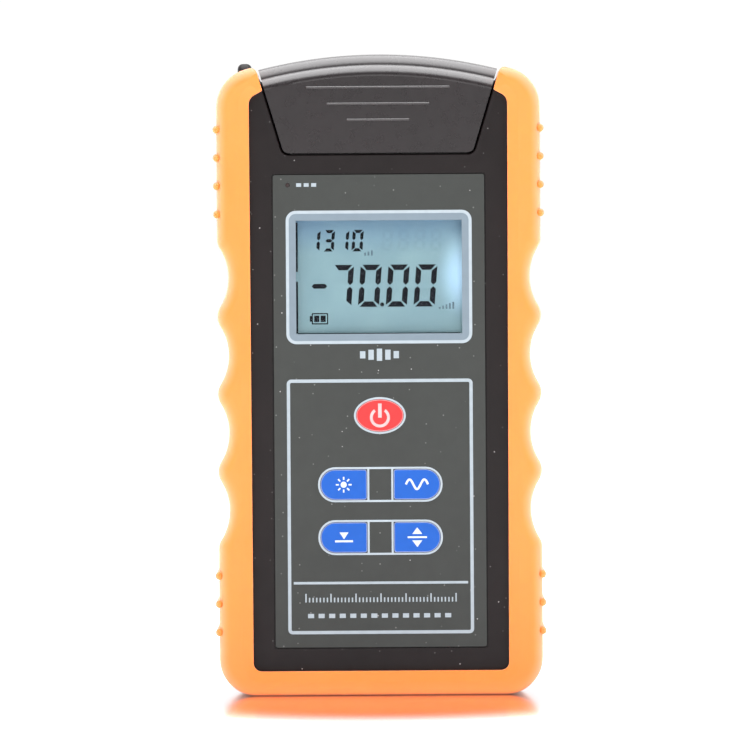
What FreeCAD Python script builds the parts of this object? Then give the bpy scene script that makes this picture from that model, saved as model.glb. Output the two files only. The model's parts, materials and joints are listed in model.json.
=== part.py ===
import FreeCAD, Part
import math
import os

# Handheld optical power meter with a visual fault locator, in millimetres.
# +X is the meter's left-to-right as seen from the front, the front faces -Y, +Z is up.
# The origin is the middle of the underside of the rubber boot.

Vector = FreeCAD.Vector
X_AXIS = Vector(1, 0, 0)
Y_AXIS = Vector(0, 1, 0)
Z_AXIS = Vector(0, 0, 1)

# Overall size
overall_height = 179.4
boot_width = 90.6
boot_depth = 45.0
crown_radius = 137.0            # the arched top of lid, case and boot is part of one circle

# Rubber boot
boot_side_wall = 5.3
boot_floor = 3.5
boot_roof = 3.6
boot_lip = 2.5                  # rubber standing in front of and behind the case
boot_crown_rise = 1.0           # the boot's shoulders stand this much outside the lid's arch
boot_side_border = 9.55         # at the bottom
window_widening = 0.4           # each side, up to the arms
boot_bottom_border = 6.9
boot_low_corner = 10.5
boot_top_corner = 11.0
boot_edge_round = 3.6
boot_fit = 0.1                  # gap between rubber and case
window_low_corner = 2.3
window_top_corner = 3.0
arm_tip_round = 1.8
window_bevel_width = 2.9
window_bevel_depth = 0.45
arm_lower_drop = 10.1           # from the top down to the lower inner corner of a shoulder arm
arm_lower_slope = 27.8          # degrees
arm_lower_round = 0.6
arm_gap = 0.6                   # between the lid's side and the arm, square to the seam
arm_gap_rear = 2.4
arm_rear_reach = 4.4            # the wider gap starts this far in front of the hinge
grip_count = 4
grip_low_gap = 18.3             # from the uppermost low rib to the middle of the lowest hollow
grip_high_gap = 17.7            # from the middle of the highest hollow to the lowest high rib
grip_depth = 3.1
grip_crest_radius = 5.0
grip_end_radius = 4.0
rib_radius = 1.1
rib_stand = 1.0
rib_front_inset = 0.7
rib_pitch = 7.9
upper_rib_count = 4
upper_rib_drop = 44.6           # from the top down to the lowest of the upper ribs
lower_rib_count = 3
lower_rib_lowest_z = 17.9

# Case shells
face_wall = 2.4
side_wall = 2.0
case_low_corner = 7.0
case_top_corner = 7.5
seam_gap = 0.45                 # round the lid's tongue
seam_bevel = 0.3

# Lid
lid_height = 27.6
lid_bottom_inset = 13.6         # from the case's side to the lid's lower corner
lid_side_lean = 16.8            # degrees from upright
lid_bottom_corner = 1.9
lid_face_stand = 0.3            # in front of the case's face
lid_wall = 2.0
lid_side_thickness = 1.8
lid_skirt_clearance = 0.4       # over the port plate
lid_hollow_chamfer = 3.0
tongue_play = 0.5               # between the tongue and the port plate
roll_step = 2.2                 # the rolled top edge: two quarter rounds
roll_lower_height = 3.2
roll_upper_height = 2.9
roll_upper_depth = 3.6
grip_line_radius = 0.38
grip_lines = ((9.3, 19.8), (13.9, 14.1), (18.4, 8.5))     # drop from the top, half length

# Lid hinge
hinge_drop = 8.9                # from the top down to the pin
hinge_barrel_radius = 3.6
hinge_ear_radius = 3.9
hinge_ear_width = 5.45          # from the end of the barrel to the side of the lid
hinge_side_play = 0.4
hinge_back_angle = 35.0         # slope of the lid behind the barrel
hinge_clearance = 0.3
hinge_web_sink = 0.4            # how deep the lid's walls run into the barrel
hinge_pin_radius = 1.0
hinge_pin_hold = 6.6            # past each end of the barrel
hinge_pin_fit = 0.02
hinge_pin_end_play = 0.1
hinge_bore_fit = 0.06
lid_rear_reach = 4.2            # from the lid's rear edge to the pin

# Ports
port_plate_thickness = 2.0
port_plate_inset = 1.6          # from the lid's lower corner to the side of the plate
port_outset = 0.1               # of each port from the middle of its half of the plate
flange_radius = 6.5
flange_thickness = 2.0
barrel_radius = 4.0
barrel_bore_radius = 3.1
barrel_height = 10.2
ferrule_radius = 1.25
ferrule_sleeve_radius = 2.0
ferrule_sleeve_height = 8.0
tail_radius = 3.5
tail_bore_radius = 2.45
tail_below_floor = 4.0
tail_fit = 0.1
nut_across_flats = 11.0
nut_thickness = 2.5
diode_can_radius = 2.35
diode_can_height = 3.4
diode_rim_radius = 2.9
diode_rim_thickness = 0.8
lead_radius = 0.24
lead_circle = 1.3
lead_length = 6.0
laser_radius = 5.0
laser_length = 24.0
laser_nose_radius = 2.35
laser_nose_length = 3.4

# Face label and display
label_inset = 10.45             # from the case's side to the label
label_bottom_z = 13.5
label_top_gap = 6.1             # between the label and the lid
label_thickness = 0.5
label_sink = 0.1                # below the case's face
label_corner = 0.6
label_edge_gap = 0.35
display_inset = 6.25            # from the label's side to the opening
display_height = 31.7
display_top_gap = 12.8          # from the label's top to the opening
display_corner = 0.4
pane_overlap = 1.2
pane_thickness = 1.0
pane_play = 0.1
panel_margin = 2.0
panel_thickness = 1.8
frame_wall = 1.9
frame_play = 0.1
backlight_thickness = 3.2
board_inset = 12.0              # from the case's side to the board
board_low_gap = 2.5             # from the label's lower edge to the board's
board_high_gap = 5.3            # between the board and the lid
board_thickness = 1.6
lamp_inset = 4.15               # from the label's side to the lamp
lamp_drop = 2.8                 # from the label's top down to the lamp
lamp_hole_radius = 0.65
lamp_nose_fit = 0.1
lamp_nose_sink = 0.3            # below the label's face
lamp_body_radius = 1.5

# Keys
key_stand = 0.4                 # in front of the label
key_travel = 0.5
key_window_gap = 0.15
key_flange = 0.9
key_flange_thickness = 0.8
key_flange_play = 0.05
key_stem_radius = 1.6
key_switch_gap = 0.2            # left between stem and switch when the key is pressed
key_low_share = 0.4268          # of the free height below the display: under the lower row,
key_row_share = 0.1038          # between the two rows,
key_power_share = 0.1722        # and between the upper row and the power key
power_key_width = 13.05
power_key_height = 8.85
key_inner_x = 3.8
key_outer_x = 16.7
key_height = 8.35
key_end_corner = 4.1
key_inner_corner = 0.7
key_edge_round = 0.32
switch_size = 6.0
switch_height = 1.5
plunger_radius = 1.6
plunger_height = 0.7
chip_height = 1.7
chips = ((-8.0, -7.0, 7.0, 7.0), (10.0, 1.0, 5.0, 3.5),       # middle from the display's middle,
         (12.0, -19.0, 4.0, 4.0), (-12.0, 15.0, 3.0, 5.0))    # half width, half height

# Screws
case_screw_inset = 8.0          # from the case's side
case_screw_low_z = 10.4
case_screw_drop = 36.4          # from the top down to the upper screws
case_boss_radius = 3.4
case_screw_radius = 1.4
case_screw_head_radius = 2.7
case_screw_head_height = 2.2
case_screw_sink = 1.4           # head top below the rear face
case_screw_length = 22.0
case_screw_head_play = 0.3
case_screw_slot_width = 0.7
case_screw_slot_share = 0.6     # of the head's radius
case_screw_slot_depth = 1.2
screw_tip_room = 1.0            # of a hole past the tip of its screw
board_post_low_inset = 4.0      # from the board's sides and lower edge
board_post_high_inset = 8.0     # from the board's sides
board_post_drop = 4.0           # from the board's upper edge
board_post_radius = 2.4
board_screw_radius = 0.9
board_screw_head_radius = 1.8
board_screw_head_height = 1.3
board_screw_length = 4.4
screw_play = 0.05

# Batteries, size AA
battery_radius = 7.25
battery_length = 50.5
battery_nub_radius = 2.75
battery_nub_height = 1.3
battery_end_round = 0.6
battery_pitch = 15.0
battery_count = 3
battery_play = 0.25
bay_low_z = 18.0
bay_wall = 1.6
bay_side_room = 0.5             # beside the outer cells
battery_door_gap = 0.6          # between the cells and the door
contact_thickness = 0.5
contact_half_width = 4.5
spring_reach = 3.0
spring_sheet = 0.35
spring_tip_gap = 0.05
spring_leaf_share = 0.7         # of the contact's width

# Battery door
door_side_margin = 3.0          # beyond the battery bay
door_low_margin = 3.5
door_high_margin = 6.75
door_gap = 0.2
door_ledge_width = 1.5
door_ledge_thickness = 1.4
door_ledge_play = 0.15
door_pivot_radius = 0.6
door_pivot_length = 1.2
door_pivot_fit = 0.05
door_pivot_end_play = 0.2
door_ridge_radius = 0.5
door_ridge_pitch = 3.0
door_ridge_count = 4
door_ridge_skip = 4             # pitches between the door's upper edge and the first ridge
door_ridge_half_length = 9.0
door_scoop_radius = 9.0
door_scoop_depth = 1.2

# Strap eye
eye_inset = 2.2                 # from the case's side to the middle of the eye
eye_width = 4.0
eye_radius = 2.75
eye_round = 1.5
eye_depth = 1.1                 # from the case's rear face to the middle of the eye
eye_drop = 4.25                 # from the top down to the middle of the eye
eye_foot_drop = 13.8
eye_hole_radius = 1.1
eye_clearance = 0.9
eye_notch_gap = 2.5

# Places worked out from the sizes above
crown_z = overall_height - crown_radius
lid_bottom_z = overall_height - lid_height
arm_lower_z = overall_height - arm_lower_drop
upper_rib_lowest_z = overall_height - upper_rib_drop
lower_rib_highest_z = lower_rib_lowest_z + rib_pitch * (lower_rib_count - 1)
grip_lowest_z = lower_rib_highest_z + grip_low_gap
grip_highest_z = upper_rib_lowest_z - grip_high_gap
grip_pitch = (grip_highest_z - grip_lowest_z) / (grip_count - 1)
boot_half_width = boot_width / 2
boot_half_depth = boot_depth / 2
boot_crown = crown_radius + boot_crown_rise
case_half_width = boot_half_width - boot_side_wall
case_half_depth = boot_half_depth - boot_lip
case_crown = boot_crown - boot_roof
face_y = -case_half_depth
rear_y = case_half_depth
face_inner_y = face_y + face_wall
rear_inner_y = rear_y - face_wall
lid_bottom_half_width = case_half_width - lid_bottom_inset
side_slope = math.tan(math.radians(lid_side_lean))
hinge_y = rear_y - hinge_barrel_radius
hinge_z = overall_height - hinge_drop
hinge_barrel_half_length = lid_bottom_half_width + (hinge_z - lid_bottom_z) * side_slope - hinge_ear_width
hinge_pin_half_length = hinge_barrel_half_length + hinge_pin_hold
lid_rear_y = hinge_y - lid_rear_reach
arm_rear_start = hinge_y - arm_rear_reach
port_plate_half_width = lid_bottom_half_width - port_plate_inset
port_x = port_plate_half_width / 2 + port_outset
bay_floor_top = lid_bottom_z - seam_gap
bay_floor_bottom = bay_floor_top - side_wall
plate_top = bay_floor_top + port_plate_thickness
lid_front_y = face_y - lid_face_stand
label_half_width = case_half_width - label_inset
label_top_z = lid_bottom_z - label_top_gap
label_back_y = face_y + label_sink + label_thickness
label_front_y = face_y + label_sink
display_half_width = label_half_width - display_inset
display_high_z = label_top_z - display_top_gap
display_low_z = display_high_z - display_height
lamp_x = lamp_inset - label_half_width
lamp_z = label_top_z - lamp_drop
key_front_y = label_front_y - key_stand
key_free_height = display_low_z - label_bottom_z - 2 * key_height - power_key_height
lower_key_z = label_bottom_z + key_low_share * key_free_height + key_height / 2
upper_key_z = lower_key_z + key_height + key_row_share * key_free_height
power_key_z = upper_key_z + key_power_share * key_free_height + (key_height + power_key_height) / 2
board_half_width = case_half_width - board_inset
board_low_z = label_bottom_z + board_low_gap
board_high_z = lid_bottom_z - board_high_gap
board_front_y = face_inner_y + panel_thickness + backlight_thickness
board_rear_y = board_front_y + board_thickness
case_screw_x = case_half_width - case_screw_inset
case_screw_zs = (case_screw_low_z, overall_height - case_screw_drop)
bay_high_z = bay_low_z + spring_reach + battery_length + contact_thickness + battery_play
bay_half_width = battery_pitch * battery_count / 2 + bay_side_room
door_inner_y = rear_inner_y
door_half_width = bay_half_width + door_side_margin
door_low_z = bay_low_z - door_low_margin
door_high_z = bay_high_z + door_high_margin
battery_y = door_inner_y - battery_door_gap - battery_radius
bay_floor_y = battery_y - battery_radius - battery_play
eye_x = eye_inset - case_half_width
eye_y = rear_y - eye_depth
eye_z = overall_height - eye_drop
eye_foot_z = overall_height - eye_foot_drop
crown_overrun = 3.0             # degrees swept past the case's sides before the lid is trimmed
cut_past = 1.0                  # how far a cutting tool reaches past what it cuts
far = 400.0                     # longer than anything here, for cutting tools


def box(x0, x1, y0, y1, z0, z1):
    """A block between two corners."""
    return Part.makeBox(x1 - x0, y1 - y0, z1 - z0, Vector(x0, y0, z0))


def rod(axis, centre, radius, start, end):
    """A cylinder along a row axis; centre gives the two other coordinates."""
    a, b = centre
    base = {"x": Vector(start, a, b), "y": Vector(a, start, b), "z": Vector(a, b, start)}[axis]
    direction = {"x": X_AXIS, "y": Y_AXIS, "z": Z_AXIS}[axis]
    return Part.makeCylinder(radius, end - start, base, direction)


def fuse(shapes):
    """Joins solids into one and drops the seams between them."""
    return shapes[0].multiFuse(shapes[1:]).removeSplitter()


def slab(wire, y0, y1):
    """Extrudes an outline drawn in the XZ plane from y0 to y1."""
    face = Part.Face(wire)
    face.translate(Vector(0, y0, 0))
    return face.extrude(Vector(0, y1 - y0, 0))


def point(x, z):
    return Vector(x, 0, z)


def line(a, b):
    return Part.LineSegment(a, b).toShape()


def arc(a, middle, b):
    return Part.Arc(a, middle, b).toShape()


def rounded_polygon(corners, grow=0.0):
    """A closed outline of (x, z, radius) corners, given anticlockwise seen from the front.

    grow moves every side outwards; rounded corners grow or shrink with it.
    """
    count = len(corners)
    normals = []
    for i in range(count):
        x0, z0 = corners[i][:2]
        x1, z1 = corners[(i + 1) % count][:2]
        length = math.hypot(x1 - x0, z1 - z0)
        normals.append(((z1 - z0) / length, -(x1 - x0) / length))
    starts, middles, ends = [], [], []
    for i in range(count):
        x, z, radius = corners[i]
        nx0, nz0 = normals[i - 1]
        nx1, nz1 = normals[i]
        cross = nx0 * nz1 - nz0 * nx1
        turn = 1.0 if cross > 0 else -1.0
        share = 1.0 + nx0 * nx1 + nz0 * nz1
        x += grow * (nx0 + nx1) / share
        z += grow * (nz0 + nz1) / share
        radius = max(radius + turn * grow, 0.05) if radius > 0 else 0.0
        cx = x - turn * radius * (nx0 + nx1) / share
        cz = z - turn * radius * (nz0 + nz1) / share
        length = math.hypot(nx0 + nx1, nz0 + nz1)
        starts.append(point(cx + turn * radius * nx0, cz + turn * radius * nz0))
        middles.append(point(cx + turn * radius * (nx0 + nx1) / length,
                             cz + turn * radius * (nz0 + nz1) / length))
        ends.append(point(cx + turn * radius * nx1, cz + turn * radius * nz1))
    edges = []
    for i in range(count):
        if corners[i][2] > 0:
            edges.append(arc(starts[i], middles[i], ends[i]))
        edges.append(line(ends[i], starts[(i + 1) % count]))
    return Part.Wire(edges)


def rectangle(half_width, low, high, radius, grow=0.0, centre=0.0):
    """A rounded upright rectangle."""
    left, right = centre - half_width, centre + half_width
    corners = [(left, low, radius), (right, low, radius), (right, high, radius), (left, high, radius)]
    return rounded_polygon(corners, grow)


def grip_edges(half_width):
    """Finger grip along the right-hand side, from the bottom up, and its two ends.

    The hollows and the crests between them are circles that touch each other.
    """
    half_pitch = grip_pitch / 2
    reach = (grip_depth ** 2 + half_pitch ** 2) / (2 * grip_depth)
    hollow = reach - grip_crest_radius
    hollow_x = half_width - grip_depth + hollow
    run_out = math.sqrt(2 * grip_depth * (hollow + grip_end_radius) - grip_depth ** 2)
    top_z = grip_lowest_z + grip_pitch * (grip_count - 1)

    def touching(centre, radius, z):
        """Where a convex circle meets the hollow at height z."""
        share = radius / (radius + hollow)
        return point(centre.x + (hollow_x - centre.x) * share, centre.z + (z - centre.z) * share)

    def on_side(centre, radius, target):
        """Middle of the convex arc between the straight side and the hollow."""
        angle = math.atan2(target.z - centre.z, target.x - centre.x) / 2
        return point(centre.x + radius * math.cos(angle), centre.z + radius * math.sin(angle))

    edges = []
    low_centre = point(half_width - grip_end_radius, grip_lowest_z - run_out)
    start = point(half_width, low_centre.z)
    meet = touching(low_centre, grip_end_radius, grip_lowest_z)
    edges.append(arc(start, on_side(low_centre, grip_end_radius, meet), meet))
    for i in range(grip_count):
        z = grip_lowest_z + i * grip_pitch
        deepest = point(half_width - grip_depth, z)
        if i < grip_count - 1:
            crest = point(half_width - grip_crest_radius, z + half_pitch)
            leave = touching(crest, grip_crest_radius, z)
            edges.append(arc(meet, deepest, leave))
            meet = touching(crest, grip_crest_radius, z + grip_pitch)
            edges.append(arc(leave, point(half_width, crest.z), meet))
        else:
            high_centre = point(half_width - grip_end_radius, top_z + run_out)
            leave = touching(high_centre, grip_end_radius, z)
            edges.append(arc(meet, deepest, leave))
            end = point(half_width, high_centre.z)
            edges.append(arc(leave, on_side(high_centre, grip_end_radius, leave), end))
    return edges, start, end


def arched_outline(half_width, bottom, low_corner, top_corner, crown, grips=False):
    """A case outline: flat bottom, upright sides and the arched crown."""
    corner_x = half_width - top_corner
    corner_z = crown_z + math.sqrt((crown - top_corner) ** 2 - corner_x ** 2)
    share = crown / (crown - top_corner)
    shoulder = point(corner_x * share, crown_z + (corner_z - crown_z) * share)
    angle = math.atan2(shoulder.z - corner_z, shoulder.x - corner_x) / 2
    corner_middle = point(corner_x + top_corner * math.cos(angle), corner_z + top_corner * math.sin(angle))
    side_low = point(half_width, bottom + low_corner)
    side_high = point(half_width, corner_z)
    diagonal = low_corner * (1 - math.sqrt(0.5))
    edges = [line(point(0, bottom), point(half_width - low_corner, bottom)),
             arc(point(half_width - low_corner, bottom), point(half_width - diagonal, bottom + diagonal),
                 side_low)]
    if grips:
        wave, start, end = grip_edges(half_width)
        edges.append(line(side_low, start))
        edges.extend(wave)
        edges.append(line(end, side_high))
    else:
        edges.append(line(side_low, side_high))
    edges.append(arc(side_high, corner_middle, shoulder))
    half = math.asin(shoulder.x / crown) / 2
    edges.append(arc(shoulder, point(crown * math.sin(half), crown_z + crown * math.cos(half)),
                     point(0, crown_z + crown)))
    mirrored = [edge.mirror(Vector(0, 0, 0), X_AXIS) for edge in reversed(edges)]
    return Part.Wire(Part.__sortEdges__(edges + mirrored))


def lid_outline(grow=0.0):
    """The lid's front view without its crown: a trapezoid that widens upwards."""
    rise = far / 4
    top_half = lid_bottom_half_width + rise * side_slope
    return rounded_polygon([(-lid_bottom_half_width, lid_bottom_z, lid_bottom_corner),
                            (lid_bottom_half_width, lid_bottom_z, lid_bottom_corner),
                            (top_half, lid_bottom_z + rise, 0),
                            (-top_half, lid_bottom_z + rise, 0)], grow)


def seam_x(z, gap):
    """Half-width at height z of a line that runs beside the lid at a gap square to it."""
    along = gap / math.cos(math.radians(lid_side_lean))
    return lid_bottom_half_width + (z - lid_bottom_z) * side_slope + along


def arm_crest(gap):
    """Where the end of a shoulder arm meets the boot's crown."""
    start = seam_x(crown_z, gap)
    square = 1 + side_slope ** 2
    rise = (math.sqrt(boot_crown ** 2 * square - start ** 2) - start * side_slope) / square
    return start + rise * side_slope, crown_z + rise


def window_outline(grow=0.0, gap=arm_gap):
    """The boot's opening, which runs out between the ends of the two shoulder arms."""
    half_width = boot_half_width - boot_side_border
    tip_x = seam_x(arm_lower_z, gap)
    high_half_width = half_width + window_widening
    elbow_z = arm_lower_z - (high_half_width - tip_x) * math.tan(math.radians(arm_lower_slope))
    crest_x, crest_z = arm_crest(gap)
    slope = crest_x / (crest_z - crown_z)
    reach = boot_half_width - crest_x
    right = [(half_width, boot_bottom_border, window_low_corner),
             (high_half_width, elbow_z, window_top_corner),
             (tip_x, arm_lower_z, arm_lower_round),
             (crest_x, crest_z, arm_tip_round),
             (crest_x + reach, crest_z - reach * slope, 0),
             (crest_x + reach, overall_height + reach, 0)]
    left = [(-x, z, radius) for x, z, radius in reversed(right)]
    return rounded_polygon(right + left, grow)


def in_plane_y(edge, y):
    return all(abs(vertex.Point.y - y) < 1e-6 for vertex in edge.Vertexes)


def in_plane_x(edge, x):
    return all(abs(vertex.Point.x - x) < 1e-6 for vertex in edge.Vertexes)


def make_boot():
    outline = arched_outline(boot_half_width, 0.0, boot_low_corner, boot_top_corner, boot_crown, True)
    outer = slab(outline, -boot_half_depth, boot_half_depth)
    rims = [edge for edge in outer.Edges
            if in_plane_y(edge, -boot_half_depth) or in_plane_y(edge, boot_half_depth)]
    boot = outer.makeFillet(boot_edge_round, rims)
    ribs = []
    rib_x = boot_half_width - rib_radius + rib_stand
    rib_end = boot_half_depth - rib_front_inset - rib_radius
    rows = [lower_rib_lowest_z + i * rib_pitch for i in range(lower_rib_count)]
    rows += [upper_rib_lowest_z + i * rib_pitch for i in range(upper_rib_count)]
    for z in rows:
        for side in (-1, 1):
            rib = rod("y", (side * rib_x, z), rib_radius, -rib_end, rib_end)
            ends = [Part.makeSphere(rib_radius, Vector(side * rib_x, y, z)) for y in (-rib_end, rib_end)]
            ribs.append(rib.fuse(ends[0]).fuse(ends[1]).removeSplitter())
    boot = boot.multiFuse(ribs)
    boot = boot.cut(case_block(face_y - boot_fit, rear_y + boot_fit, -boot_fit))
    boot = boot.cut(slab(window_outline(), -far, far))
    boot = boot.cut(slab(window_outline(0.0, arm_gap_rear), arm_rear_start, far))
    for side in (-1, 1):
        outer_wire = window_outline(window_bevel_width)
        outer_wire.translate(Vector(0, side * boot_half_depth, 0))
        inner_wire = window_outline()
        inner_wire.translate(Vector(0, side * (boot_half_depth - window_bevel_depth), 0))
        boot = boot.cut(Part.makeLoft([outer_wire, inner_wire], True, True))
    notch = box(-boot_width, eye_x + eye_width / 2 + eye_notch_gap, eye_y - eye_radius - eye_clearance, far,
                eye_foot_z - boot_fit, far)
    return boot.cut(notch).removeSplitter()


def case_block(y0, y1, inset=0.0):
    """The case's outline as a solid block, shrunk by inset all round."""
    wire = arched_outline(case_half_width - inset, boot_floor + inset, case_low_corner - inset,
                          case_top_corner - inset, case_crown - inset)
    return slab(wire, y0, y1)


def row_height(row):
    return upper_key_z if row == "upper" else lower_key_z


def key_outline(name, grow=0.0):
    """Front view of a key cap."""
    if name == "power":
        major = power_key_width / 2 + grow
        minor = power_key_height / 2 + grow
        ellipse = Part.Ellipse(Vector(0, 0, 0), major, minor)
        ellipse.rotate(FreeCAD.Placement(Vector(0, 0, 0), FreeCAD.Rotation(X_AXIS, 90)))
        ellipse.translate(Vector(0, 0, power_key_z))
        return Part.Wire([ellipse.toShape()])
    side, row = name
    z = row_height(row)
    low, high = z - key_height / 2, z + key_height / 2
    corners = [(key_inner_x, low, key_inner_corner), (key_outer_x, low, key_end_corner),
               (key_outer_x, high, key_end_corner), (key_inner_x, high, key_inner_corner)]
    if side == "left":
        corners = [(-x, z_value, radius) for x, z_value, radius in reversed(corners)]
    return rounded_polygon(corners, grow)


keys = {
    "key_power": "power",
    "key_locator": ("left", "upper"),
    "key_wavelength": ("right", "upper"),
    "key_reference": ("left", "lower"),
    "key_unit": ("right", "lower"),
}


def key_centre(name):
    if name == "power":
        return 0.0, power_key_z
    side, row = name
    middle = (key_inner_x + key_outer_x) / 2
    return (-middle if side == "left" else middle), row_height(row)


def port_holes():
    """Round holes in the bay floor and the port plate for the tails of the two ports."""
    return [rod("z", (side * port_x, 0.0), tail_radius + tail_fit, bay_floor_bottom - cut_past,
                plate_top + cut_past) for side in (-1, 1)]


def bay_cut(y0, y1):
    """The bay between the two shoulders, open upwards."""
    return slab(lid_outline(seam_gap), y0, y1)


def make_front_housing():
    shell = case_block(face_y, 0.0)
    cavity = case_block(face_inner_y, cut_past, side_wall)
    cavity = cavity.cut(slab(lid_outline(seam_gap + side_wall), -far, far))
    shell = shell.cut(cavity).cut(bay_cut(-far, far))
    bevel_front = lid_outline(seam_gap + seam_bevel)
    bevel_front.translate(Vector(0, face_y, 0))
    bevel_back = lid_outline(seam_gap)
    bevel_back.translate(Vector(0, face_y + seam_bevel, 0))
    shell = shell.cut(Part.makeLoft([bevel_front, bevel_back], True, True))
    recess = rectangle(label_half_width, label_bottom_z, label_top_z, label_corner, label_edge_gap)
    shell = shell.cut(slab(recess, -far, label_back_y))
    shell = shell.cut(display_block(pane_overlap + pane_play, -far, label_back_y + pane_thickness))
    through = face_inner_y + cut_past
    shell = shell.cut(display_block(0.0, -far, through))
    for name in keys.values():
        shell = shell.cut(slab(key_outline(name, key_window_gap), -far, through))
    shell = shell.cut(rod("y", (lamp_x, lamp_z), lamp_hole_radius, -far, through))
    added, drilled = [], []
    for z in case_screw_zs:
        for side in (-1, 1):
            added.append(rod("y", (side * case_screw_x, z), case_boss_radius, face_inner_y, 0.0))
            drilled.append(rod("y", (side * case_screw_x, z), case_screw_radius + screw_play,
                               case_screw_tip() - screw_tip_room, cut_past))
    for x, z in board_posts():
        added.append(rod("y", (x, z), board_post_radius, face_inner_y, board_front_y))
        drilled.append(rod("y", (x, z), board_screw_radius + screw_play,
                           board_rear_y - board_screw_length - screw_tip_room, 0.0))
    shell = fuse([shell] + added)
    for tool in drilled + port_holes():
        shell = shell.cut(tool)
    return shell


def board_posts():
    """Places of the posts that carry the board."""
    low_x = board_half_width - board_post_low_inset
    high_x = board_half_width - board_post_high_inset
    low_z = board_low_z + board_post_low_inset
    high_z = board_high_z - board_post_drop
    return (-low_x, low_z), (low_x, low_z), (-high_x, high_z), (high_x, high_z)


def case_screw_tip():
    return rear_y - case_screw_sink - case_screw_head_height - case_screw_length


def battery_xs():
    return [(i - (battery_count - 1) / 2) * battery_pitch for i in range(battery_count)]


def make_rear_housing():
    shell = case_block(0.0, rear_y)
    cavity = case_block(-cut_past, rear_inner_y, side_wall)
    shell = shell.cut(cavity.cut(slab(lid_outline(seam_gap + side_wall), -far, far)))
    ear_front = hinge_y - hinge_ear_radius
    inner_half = hinge_barrel_half_length + hinge_side_play
    shell = shell.cut(bay_cut(-far, ear_front))
    shell = shell.cut(box(-inner_half, inner_half, -cut_past, rear_inner_y, bay_floor_top, far))
    barrel_clear = hinge_z - hinge_barrel_radius - hinge_clearance
    shell = shell.cut(box(-inner_half, inner_half, 0.0, far, barrel_clear, far))
    over_ears = bay_cut(ear_front, far).common(box(-far, far, ear_front, far, hinge_z, far))
    over_ears = over_ears.cut(rod("x", (hinge_y, hinge_z), hinge_ear_radius, -far, far))
    shell = shell.cut(over_ears)
    # battery bay with a ledge round its mouth for the door
    outer = box(-bay_half_width - bay_wall, bay_half_width + bay_wall, bay_floor_y - bay_wall, rear_inner_y,
                bay_low_z - bay_wall, bay_high_z + bay_wall)
    ledge_low = rear_inner_y - door_ledge_thickness
    rim = door_ledge_width
    ledge = box(-door_half_width - rim, door_half_width + rim, ledge_low, rear_inner_y,
                door_low_z - rim, door_high_z + rim)
    added = [outer, ledge]
    drilled = []
    for z in case_screw_zs:
        for side in (-1, 1):
            centre = (side * case_screw_x, z)
            added.append(rod("y", centre, case_boss_radius, 0.0, rear_inner_y))
            drilled.append(rod("y", centre, case_screw_radius + screw_play, -cut_past, far))
            drilled.append(rod("y", centre, case_screw_head_radius + case_screw_head_play,
                               rear_y - case_screw_sink - case_screw_head_height, far))
    shell = fuse([shell] + added)
    bay = box(-bay_half_width, bay_half_width, bay_floor_y, far, bay_low_z, bay_high_z)
    door_reach = door_half_width + door_gap
    doorway = box(-door_reach, door_reach, door_inner_y - door_ledge_play, far,
                  door_low_z - door_gap, door_high_z + door_gap)
    pivot_reach = door_half_width + door_pivot_length + door_pivot_end_play
    pivot = rod("x", door_axis(), door_pivot_radius + door_pivot_fit, -pivot_reach, pivot_reach)
    pin_reach = hinge_pin_half_length + hinge_pin_end_play
    pin = rod("x", (hinge_y, hinge_z), hinge_pin_radius + hinge_pin_fit, -pin_reach, pin_reach)
    for tool in [bay, doorway, pivot, door_scoop(), pin] + drilled + port_holes():
        shell = shell.cut(tool)
    return shell


def door_scoop():
    """The fingertip hollow across the door's upper edge."""
    centre = Vector(0, rear_y + door_scoop_radius - door_scoop_depth, door_high_z)
    return Part.makeSphere(door_scoop_radius, centre)


def door_axis():
    """The battery door turns about the middle of its rounded lower edge."""
    radius = face_wall / 2
    return rear_y - radius, door_low_z + radius


def make_battery_door():
    radius = face_wall / 2
    y, z = door_axis()
    plate = box(-door_half_width, door_half_width, door_inner_y, rear_y, z, door_high_z)
    edge = rod("x", (y, z), radius, -door_half_width, door_half_width)
    reach = door_half_width + door_pivot_length
    pivots = rod("x", (y, z), door_pivot_radius, -reach, reach)
    ridges = []
    for i in range(door_ridge_count):
        centre = (rear_y, door_high_z - door_ridge_pitch * (i + door_ridge_skip))
        ridges.append(rod("x", centre, door_ridge_radius, -door_ridge_half_length, door_ridge_half_length))
    return fuse([plate, edge, pivots] + ridges).cut(door_scoop())


def lid_profile():
    """Side view of the lid at its middle, without the hinge barrel."""
    shoulder_z = overall_height - roll_upper_height - roll_lower_height
    step_y = lid_front_y + roll_step
    step_z = shoulder_z + roll_lower_height
    top_y = step_y + roll_upper_depth
    diagonal = math.sqrt(0.5)
    low = lid_bottom_z - far / 10
    front_low = Vector(0, lid_front_y, low)
    front_high = Vector(0, lid_front_y, shoulder_z)
    lower_middle = Vector(0, step_y - roll_step * diagonal, shoulder_z + roll_lower_height * diagonal)
    step = Vector(0, step_y, step_z)
    upper_middle = Vector(0, top_y - roll_upper_depth * diagonal, step_z + roll_upper_height * diagonal)
    top_front = Vector(0, top_y, overall_height)
    back = math.radians(hinge_back_angle)
    web = hinge_barrel_radius - hinge_web_sink
    foot = Vector(0, hinge_y + web * math.cos(back), hinge_z + web * math.sin(back))
    run = (overall_height - foot.z) / math.cos(back)
    top_back = Vector(0, foot.y - run * math.sin(back), overall_height)
    hinge = Vector(0, hinge_y, hinge_z)
    under = Vector(0, lid_rear_y, hinge_z)
    rear_low = Vector(0, lid_rear_y, low)
    edges = [line(front_low, front_high), arc(front_high, lower_middle, step),
             arc(step, upper_middle, top_front), line(top_front, top_back), line(top_back, foot),
             line(foot, hinge), line(hinge, under), line(under, rear_low), line(rear_low, front_low)]
    return Part.Face(Part.Wire(edges))


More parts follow.
